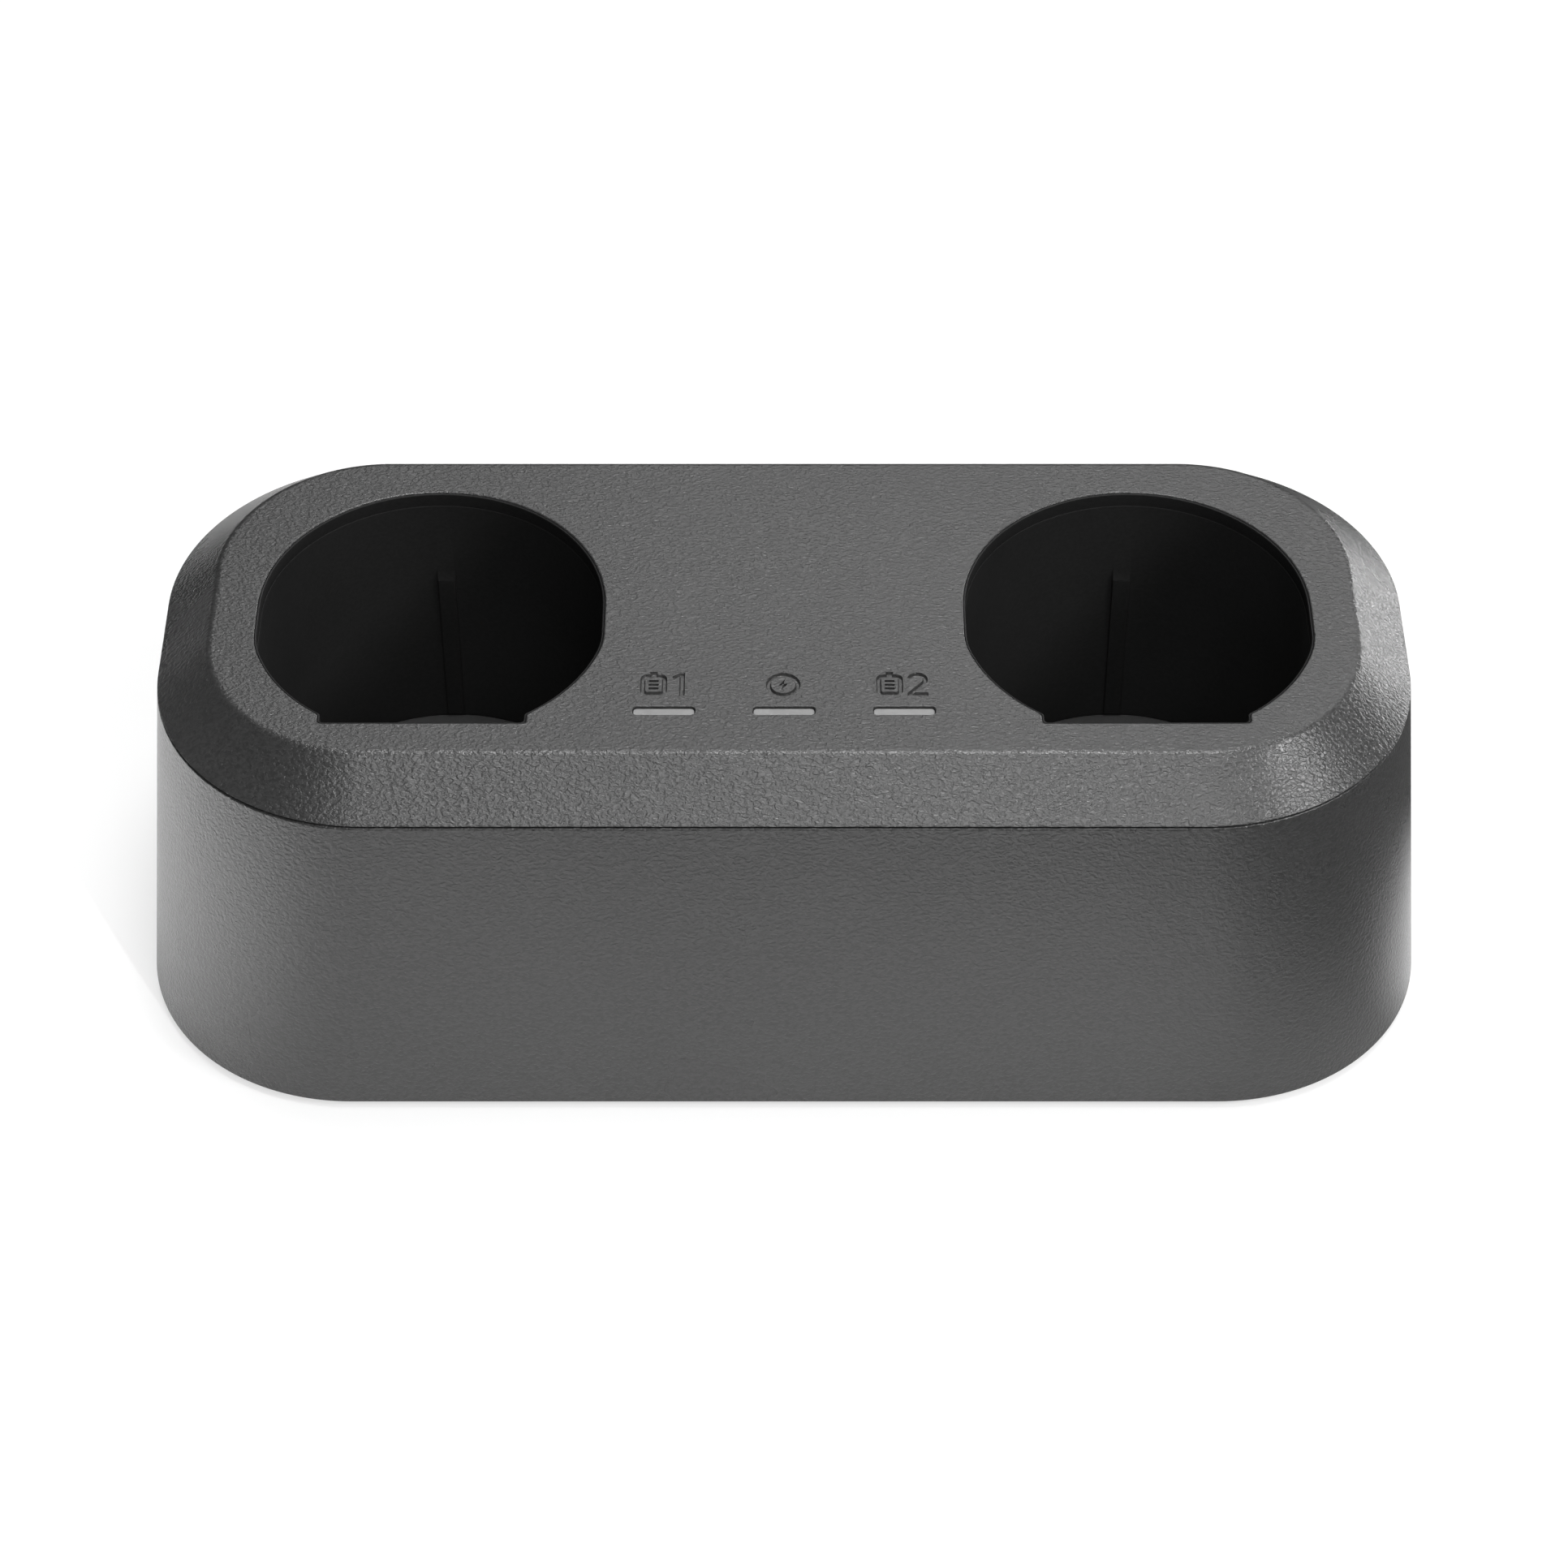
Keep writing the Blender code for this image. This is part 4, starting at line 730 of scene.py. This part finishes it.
# round pieces: a vertex walks down the profile, then the line is spun once about the upright axis
def spinProfile(points, segments, x, y, z):
    bm = bmesh.new()
    tip = bm.verts.new((points[0][0], 0.0, points[0][1]))
    for radius, height in points[1:]:
        tip = bmesh.ops.extrude_vert_indiv(bm, verts=[tip])["verts"][0]
        tip.co = (radius, 0.0, height)
    bmesh.ops.spin(bm, geom=list(bm.verts) + list(bm.edges), cent=(0, 0, 0), axis=(0, 0, 1), dvec=(0, 0, 0),
                   angle=math.tau, steps=segments, use_merge=True, use_duplicate=False)
    bmesh.ops.remove_doubles(bm, verts=bm.verts, dist=spinGap)
    bmesh.ops.translate(bm, verts=bm.verts, vec=(x, y, z))
    return bm


def makeContactPin(side, sign, step, label):
    radius, proud = contact["radius"], contact["proud"]
    dome = [(radius * math.sin(math.radians(a)), proud - radius * (1 - math.cos(math.radians(a))))
            for a in range(0, 91, 9)]
    low, top, end = contact["collarLow"], contact["collarTop"], contact["tailLow"]
    collar, tail, neck = contact["collar"], contact["tail"], contact["neck"]
    edge, tip = contact["collarEdge"], contact["tailEdge"]
    points = dome + [(radius, top + neck), (radius + neck, top), (collar - edge, top), (collar, top - edge),
                     (collar, low + edge), (collar - edge, low), (tail, low), (tail, end + tip), (tail - tip, end),
                     (0.0, end)]
    x = contactX(sign, step)
    bm = spinProfile(points, facets["pin"], x, contact["y"], well["floor"])
    name = f"contactPin{side.capitalize()}{label.capitalize()}"
    return makePiece(name, bm, finishes["gold"], f"{side}_{label}_contact",
                     [f"contact_pin_{side}_{label}"])


contactSpring = {"wire": 0.4, "radius": 1.7, "turns": 4.25, "turnSteps": 24, "sides": 10,
                 "low": 6.95, "high": 11.1, "pressed": 2.4}          # pressed is its height under a pack


def makeContactSpring(side, sign, step, label):     # a coil on the board under its contact, given a mesh of its own
    x = contactX(sign, step)
    low, high, half = contactSpring["low"], contactSpring["high"], contactSpring["wire"] / 2
    steps = round(contactSpring["turns"] * contactSpring["turnSteps"])
    bm = bmesh.new()
    bmesh.ops.create_circle(bm, cap_ends=False, segments=contactSpring["sides"], radius=half)
    bmesh.ops.rotate(bm, verts=bm.verts, matrix=Matrix.Rotation(math.pi / 2, 3, "X"))
    bmesh.ops.translate(bm, verts=bm.verts, vec=(contactSpring["radius"], 0.0, low + half))
    bmesh.ops.spin(bm, geom=list(bm.verts) + list(bm.edges), cent=(0, 0, 0), axis=(0, 0, 1),
                   dvec=(0, 0, (high - low - half * 2) / steps), angle=math.tau * contactSpring["turns"], steps=steps,
                   use_merge=False, use_duplicate=False)
    bmesh.ops.holes_fill(bm, edges=[e for e in bm.edges if e.is_boundary], sides=0)
    bmesh.ops.translate(bm, verts=bm.verts, vec=(x, contact["y"], 0.0))
    name = f"contactSpring{side.capitalize()}{label.capitalize()}"
    piece = makePiece(name, bm, finishes["steel"], "dock", [f"contact_spring_{side}_{label}"],
                      shading["coilAngle"])
    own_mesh(piece)
    return piece


def makeLightPipe(label, x):
    gap, edge, flange = windows["clearance"], windows["pipeRound"], windows["flange"]
    top = housing["top"] - windows["below"]
    bm = bmesh.new()
    loops = [windowLoop(x, -gap - edge + along, top - drop)
             for along, drop in roundOver(edge, 90, roundSteps["window"])]
    high, low = windows["flangeTop"], windows["flangeLow"]
    loops += [windowLoop(x, grow, height) for grow, height in ((-gap, high), (flange, high), (flange, low))]
    loops += [roundedLoop(*windows["stemHalf"], windows["stemCorner"], height, windows["steps"], x, windows["y"])
              for height in (windows["stemTop"], windows["stemLow"])]
    for ends in joinLoops(bm, loops):
        fillBetween(bm, [ends])
    return makePiece(f"lightPipe{label.capitalize()}", bm, finishes["pipe"], "dock",
                     [f"light_pipe_{label}"])


base = {"low": 1.6, "floor": 3.6, "rim": 6.6, "inset": 2.8, "rimWall": 1.5,
        "bossX": 66.0, "bossY": 20.5, "bore": 3.3, "boreTop": 4.4, "clearance": 1.6,
        "cup": 5.0, "cupTop": 6.0, "footX": 52.0, "footY": 28.0, "footRadius": 6.0,
        "footThick": 2.3, "footGap": 0.3, "edge": 0.3, "overrun": 1.0}
quarters = ((1, 1, 1), (2, -1, 1), (3, -1, -1), (4, 1, -1))


def uprightTool(radius, low, high, x, y, segments=facets["screw"]):      # a cylinder along Z, for bosses and bores
    bm = bmesh.new()
    bmesh.ops.create_cone(bm, cap_ends=True, segments=segments, radius1=radius, radius2=radius, depth=high - low)
    bmesh.ops.translate(bm, verts=bm.verts, vec=(x, y, (low + high) / 2))
    return closedMesh("tool", bm)


def makeBasePlate():
    bm = bmesh.new()
    inset, wall, low = base["inset"], base["rimWall"], base["low"]
    edge, over = base["edge"], base["overrun"]
    loops = [wallLoop(inset + edge, low), wallLoop(inset, low + edge),
             wallLoop(inset, base["rim"]), wallLoop(inset + wall, base["rim"]),
             wallLoop(inset + wall, base["floor"])]
    for ends in joinLoops(bm, loops):
        fillBetween(bm, [ends])
    cups = [uprightTool(base["cup"], base["floor"] - over, base["cupTop"], sx * base["bossX"], sy * base["bossY"])
            for number, sx, sy in quarters]
    bm = carve(bm, cups, "UNION")
    bores = []
    for number, sx, sy in quarters:
        x, y = sx * base["bossX"], sy * base["bossY"]
        bores.append(uprightTool(base["bore"], 0.0, base["boreTop"], x, y))
        bores.append(uprightTool(base["clearance"], 0.0, base["cupTop"] + over, x, y, facets["hole"]))
        bores.append(uprightTool(base["footRadius"] + base["footGap"], 0.0, base["footThick"] + base["footGap"],
                                 sx * base["footX"], sy * base["footY"], facets["foot"]))
    bm = carve(bm, bores)
    return makePiece("basePlate", bm, finishes["base"], "dock", ["base_plate"])


rubberFoot = {"topEdge": 0.2, "round": 0.6, "groove": ((1.4, 0.0), (1.7, 0.25), (2.2, 0.25), (2.5, 0.0))}


def makeFoot(number, sx, sy):
    radius, thick, edge, bend = base["footRadius"], base["footThick"], rubberFoot["topEdge"], rubberFoot["round"]
    points = [(0.0, thick), (radius - edge, thick), (radius, thick - edge), (radius, bend)]
    points += [(radius - bend + bend * math.cos(math.radians(a)), bend - bend * math.sin(math.radians(a)))
               for a in range(15, 91, 15)]
    points += [(radius - inwards, height) for inwards, height in rubberFoot["groove"]] + [(0.0, 0.0)]
    bm = spinProfile(points, facets["foot"], sx * base["footX"], sy * base["footY"], 0.0)
    return makePiece(f"foot{number}", bm, finishes["rubber"], "dock", [f"foot_{number}"])


baseScrew = {"seat": 4.1, "radius": 2.7, "head": 1.8, "shank": 1.3, "length": 12.0,
             "brim": 0.35, "slot": 0.62, "slotLength": 3.0, "slotDepth": 0.9, "turn": 25}


def makeBaseScrew(number, sx, sy):      # a pan head with a cross recess, seen from below in its counterbore
    x, y, seat = sx * base["bossX"], sy * base["bossY"], baseScrew["seat"]
    radius, head, brim = baseScrew["radius"], baseScrew["head"], baseScrew["brim"]
    points = [(0.0, baseScrew["length"]), (baseScrew["shank"], baseScrew["length"] - baseScrew["shank"]),
              (baseScrew["shank"], 0.0), (radius, 0.0)]
    points += [(radius * math.cos(math.radians(a)), -head * (brim + (1 - brim) * math.sin(math.radians(a))))
               for a in range(0, 91, 10)]
    bm = spinProfile(points, facets["screw"], x, y, seat)
    tools = []
    for turn in (0, 90):
        slot = newBox((baseScrew["slotLength"], baseScrew["slot"], baseScrew["slotDepth"] * 2))
        spun = math.radians(turn + baseScrew["turn"] * number)       # no two screws stop at the same angle
        bmesh.ops.rotate(slot, verts=slot.verts, matrix=Matrix.Rotation(spun, 3, "Z"))
        bmesh.ops.translate(slot, verts=slot.verts, vec=(x, y, seat - head))
        tools.append(closedMesh("tool", slot))
    bm = carve(bm, tools)
    return makePiece(f"baseScrew{number}", bm, finishes["steel"], "dock", [f"base_screw_{number}"])


def makeInlet():
    bm = newBox((inlet["halfX"] * 2, inlet["blockBack"] - inlet["blockFront"], inlet["high"] - inlet["low"]))
    roundEdges(bm, list(bm.edges), inlet["edge"], roundSteps["inlet"])
    middle = (0.0, (inlet["blockBack"] + inlet["blockFront"]) / 2, (inlet["high"] + inlet["low"]) / 2)
    bmesh.ops.translate(bm, verts=bm.verts, vec=middle)
    z = inlet["z"]
    tip, edge = inlet["noseY"], inlet["noseEdge"]
    turned = spinProfile([(0.0, tip), (inlet["bore"] + inlet["boreEdge"], tip), (inlet["nose"] - edge, tip),
                          (inlet["nose"], tip - edge), (inlet["nose"], inlet["noseRoot"]), (0.0, inlet["noseRoot"])],
                         facets["inlet"], 0.0, 0.0, 0.0)
    bmesh.ops.rotate(turned, verts=turned.verts, matrix=Matrix.Rotation(-math.pi / 2, 3, "X"))
    bmesh.ops.translate(turned, verts=turned.verts, vec=(0.0, 0.0, z))
    bm = carve(bm, [closedMesh("tool", turned)], "UNION")
    over = inlet["overrun"]
    deep = inlet["boreY"]
    bm = carve(bm, [rodTool(inlet["bore"], (0, deep, z), (0, tip + over, z), facets["inlet"]),
                    rodTool(inlet["pinHole"], (0, inlet["pinHoleY"], z), (0, deep + over, z), facets["hole"])])
    return makePiece("dcInlet", bm, finishes["epoxy"], "dock", ["dc_inlet"])


makeTopCover()
makeBodyShell()
print("housing made")
for side, sign in (("left", -1), ("right", 1)):
    makeBatteryCup(side, sign)
    makeWellFloor(side, sign)
    for step, label in enumerate(contact["names"]):
        makeContactPin(side, sign, step, label)
        makeContactSpring(side, sign, step, label)
print("wells and contacts made")
for label, x in windowPlaces.items():
    makeLightPipe(label, x)
makeBasePlate()
for number, sx, sy in quarters:
    makeFoot(number, sx, sy)
    makeBaseScrew(number, sx, sy)
makeInlet()
print("windows, base and inlet made")

# the floor's pool and spot are painted light: a pool of light and a pale spot that only reflections see, which shade
# the dock's walls
studio = {"floorSize": 12.0, "floorTone": 0.85, "floorSeen": 0.38, "floorGlow": 0.64, "worldLevel": 0.03,
          "paintedPoolPlace": (-0.15, -0.08, 0.0), "paintedPoolInner": 0.20, "paintedPoolOuter": 0.265, "paintedPoolFar": 0.07, "paintedSheetGlow": 0.38,
          "paintedSpotPlace": (0.086, -0.006, 0.0), "paintedSpotInner": 0.010, "paintedSpotOuter": 0.028,
          "glowNear": 0.4, "glowFar": 2.0}


def distanceFrom(tree, vector, place):
    node = tree.nodes.new("ShaderNodeVectorMath")
    node.operation = "DISTANCE"
    tree.links.new(vector, node.inputs[0])
    node.inputs[1].default_value = place
    return node.outputs["Value"]


def forCamera(tree, path, mirrored, shown, socket):     # one value in reflections, another for the camera
    choice = tree.nodes.new("ShaderNodeMix")
    tree.links.new(path.outputs["Is Camera Ray"], choice.inputs["Factor"])
    tree.links.new(mirrored, choice.inputs["A"])
    feed(tree, choice.inputs["B"], shown)
    tree.links.new(choice.outputs["Result"], socket)


def makeFloor():
    bm = bmesh.new()
    bmesh.ops.create_grid(bm, x_segments=1, y_segments=1, size=studio["floorSize"] / 2)
    mesh = bpy.data.meshes.new("studioFloor")
    bm.to_mesh(mesh)
    bm.free()
    floor = bpy.data.objects.new("studioFloor", mesh)
    scene.collection.objects.link(floor)
    material = bpy.data.materials.new("paleFloor")
    material.use_nodes = True
    tree = material.node_tree
    tree.nodes.clear()
    out = tree.nodes.new("ShaderNodeOutputMaterial")
    path = tree.nodes.new("ShaderNodeLightPath")
    plain = tree.nodes.new("ShaderNodeBsdfDiffuse")
    plain.inputs["Color"].default_value = (studio["floorTone"],) * 3 + (1.0,)
    seen = tree.nodes.new("ShaderNodeBsdfDiffuse")
    glow = tree.nodes.new("ShaderNodeEmission")
    coords = tree.nodes.new("ShaderNodeTexCoord")
    reach = distanceFrom(tree, coords.outputs["Object"], studio["paintedPoolPlace"])
    fromPaintedSpot = distanceFrom(tree, coords.outputs["Object"], studio["paintedSpotPlace"])
    # painted pool of light, seen only in reflections: bright near the spot lamp's aim, dim beyond
    paintedPool = rangeNode(tree, reach, studio["paintedPoolInner"], studio["paintedPoolOuter"], 1.0, studio["paintedPoolFar"])
    # painted pale spot beside the right wall, seen only in reflections
    paintedSpot = rangeNode(tree, fromPaintedSpot, studio["paintedSpotInner"], studio["paintedSpotOuter"], 1.0, 0.0)
    paintedSheet = mathNode(tree, "MAXIMUM", paintedPool, paintedSpot)       # painted reflection: reflections see a pale sheet that ends at the right, a painted pool of light with a small painted pale spot by the right wall, and dark floor elsewhere
    far = rangeNode(tree, reach, studio["glowNear"], studio["glowFar"], studio["floorGlow"], 1.0)
    # the painted reflection's colour and glow, for glossy and transmission rays
    paintedSheetTone = mathNode(tree, "MULTIPLY", paintedSheet, studio["floorTone"])
    paintedSheetLight = mathNode(tree, "MULTIPLY", paintedSheet, studio["paintedSheetGlow"])
    forCamera(tree, path, paintedSheetTone, studio["floorSeen"], seen.inputs["Color"])
    forCamera(tree, path, paintedSheetLight, far, glow.inputs["Strength"])       # the camera sees white out to the edge
    both = tree.nodes.new("ShaderNodeAddShader")
    pick = tree.nodes.new("ShaderNodeMixShader")
    looked = mathNode(tree, "MAXIMUM", path.outputs["Is Camera Ray"], path.outputs["Is Glossy Ray"])
    looked = mathNode(tree, "MAXIMUM", looked, path.outputs["Is Transmission Ray"])
    tree.links.new(seen.outputs[0], both.inputs[0])
    tree.links.new(glow.outputs[0], both.inputs[1])
    tree.links.new(looked, pick.inputs["Fac"])
    tree.links.new(plain.outputs[0], pick.inputs[1])
    tree.links.new(both.outputs[0], pick.inputs[2])
    tree.links.new(pick.outputs[0], out.inputs["Surface"])
    mesh.materials.append(material)


softboxAim = (0.0, 0.0, 0.05)
softboxes = {
    "topBack": {"place": (0.25, 0.75, 0.82), "size": (1.1, 0.7), "power": 4.7},
    "overhead": {"place": (0.08, 0.05, 1.10), "size": (0.5, 0.22), "power": 6.5},
    "topFront": {"place": (0.07, -0.64, 0.86), "size": (0.65, 0.4), "power": 4.0},
    "topRight": {"place": (0.72, -0.36, 0.68), "size": (0.26, 0.30), "power": 4.6},
    "rightBack": {"place": (0.90, 0.78, 0.09), "size": (0.8, 0.17), "power": 5.8},
}
leftFloor = {"place": (0.35, -0.55, 0.95), "aim": (-0.17, -0.04, 0.0), "cone": 8.4, "power": 105.0,
             "blend": 0.7, "radius": 0.02}                          # a pool of light on the floor beside the dock


def placeLamp(name, lamp, place, aim):
    holder = bpy.data.objects.new(name, lamp)
    holder.location = place
    holder.rotation_euler = (Vector(aim) - Vector(place)).to_track_quat("-Z", "Y").to_euler()
    scene.collection.objects.link(holder)


makeFloor()
for name, box in softboxes.items():
    lamp = bpy.data.lights.new(name, "AREA")
    lamp.shape = "RECTANGLE"
    lamp.size, lamp.size_y = box["size"]
    lamp.energy = box["power"]
    placeLamp(name, lamp, box["place"], softboxAim)
lamp = bpy.data.lights.new("leftFloor", "SPOT")
lamp.spot_size = math.radians(leftFloor["cone"])
lamp.spot_blend = leftFloor["blend"]
lamp.shadow_soft_size = leftFloor["radius"]
lamp.energy = leftFloor["power"]
placeLamp("leftFloor", lamp, leftFloor["place"], leftFloor["aim"])
world = bpy.data.worlds.new("studioWorld")
world.use_nodes = True
world.node_tree.nodes["Background"].inputs["Color"].default_value = (1.0, 1.0, 1.0, 1.0)
world.node_tree.nodes["Background"].inputs["Strength"].default_value = studio["worldLevel"]
scene.world = world

shot = {"place": (0.0, -0.41685, 0.4262), "tilt": 45.81, "lens": 100.3, "sensor": 36.0, "clipStart": 0.01}
lens = bpy.data.cameras.new("photoCamera")
lens.lens = shot["lens"]
lens.sensor_width = shot["sensor"]
lens.clip_start = shot["clipStart"]
camera = bpy.data.objects.new("photoCamera", lens)
camera.location = shot["place"]
camera.rotation_euler = (math.radians(shot["tilt"]), 0.0, 0.0)
scene.collection.objects.link(camera)
scene.camera = camera
scene.view_settings.view_transform = "Standard"
print("studio made")
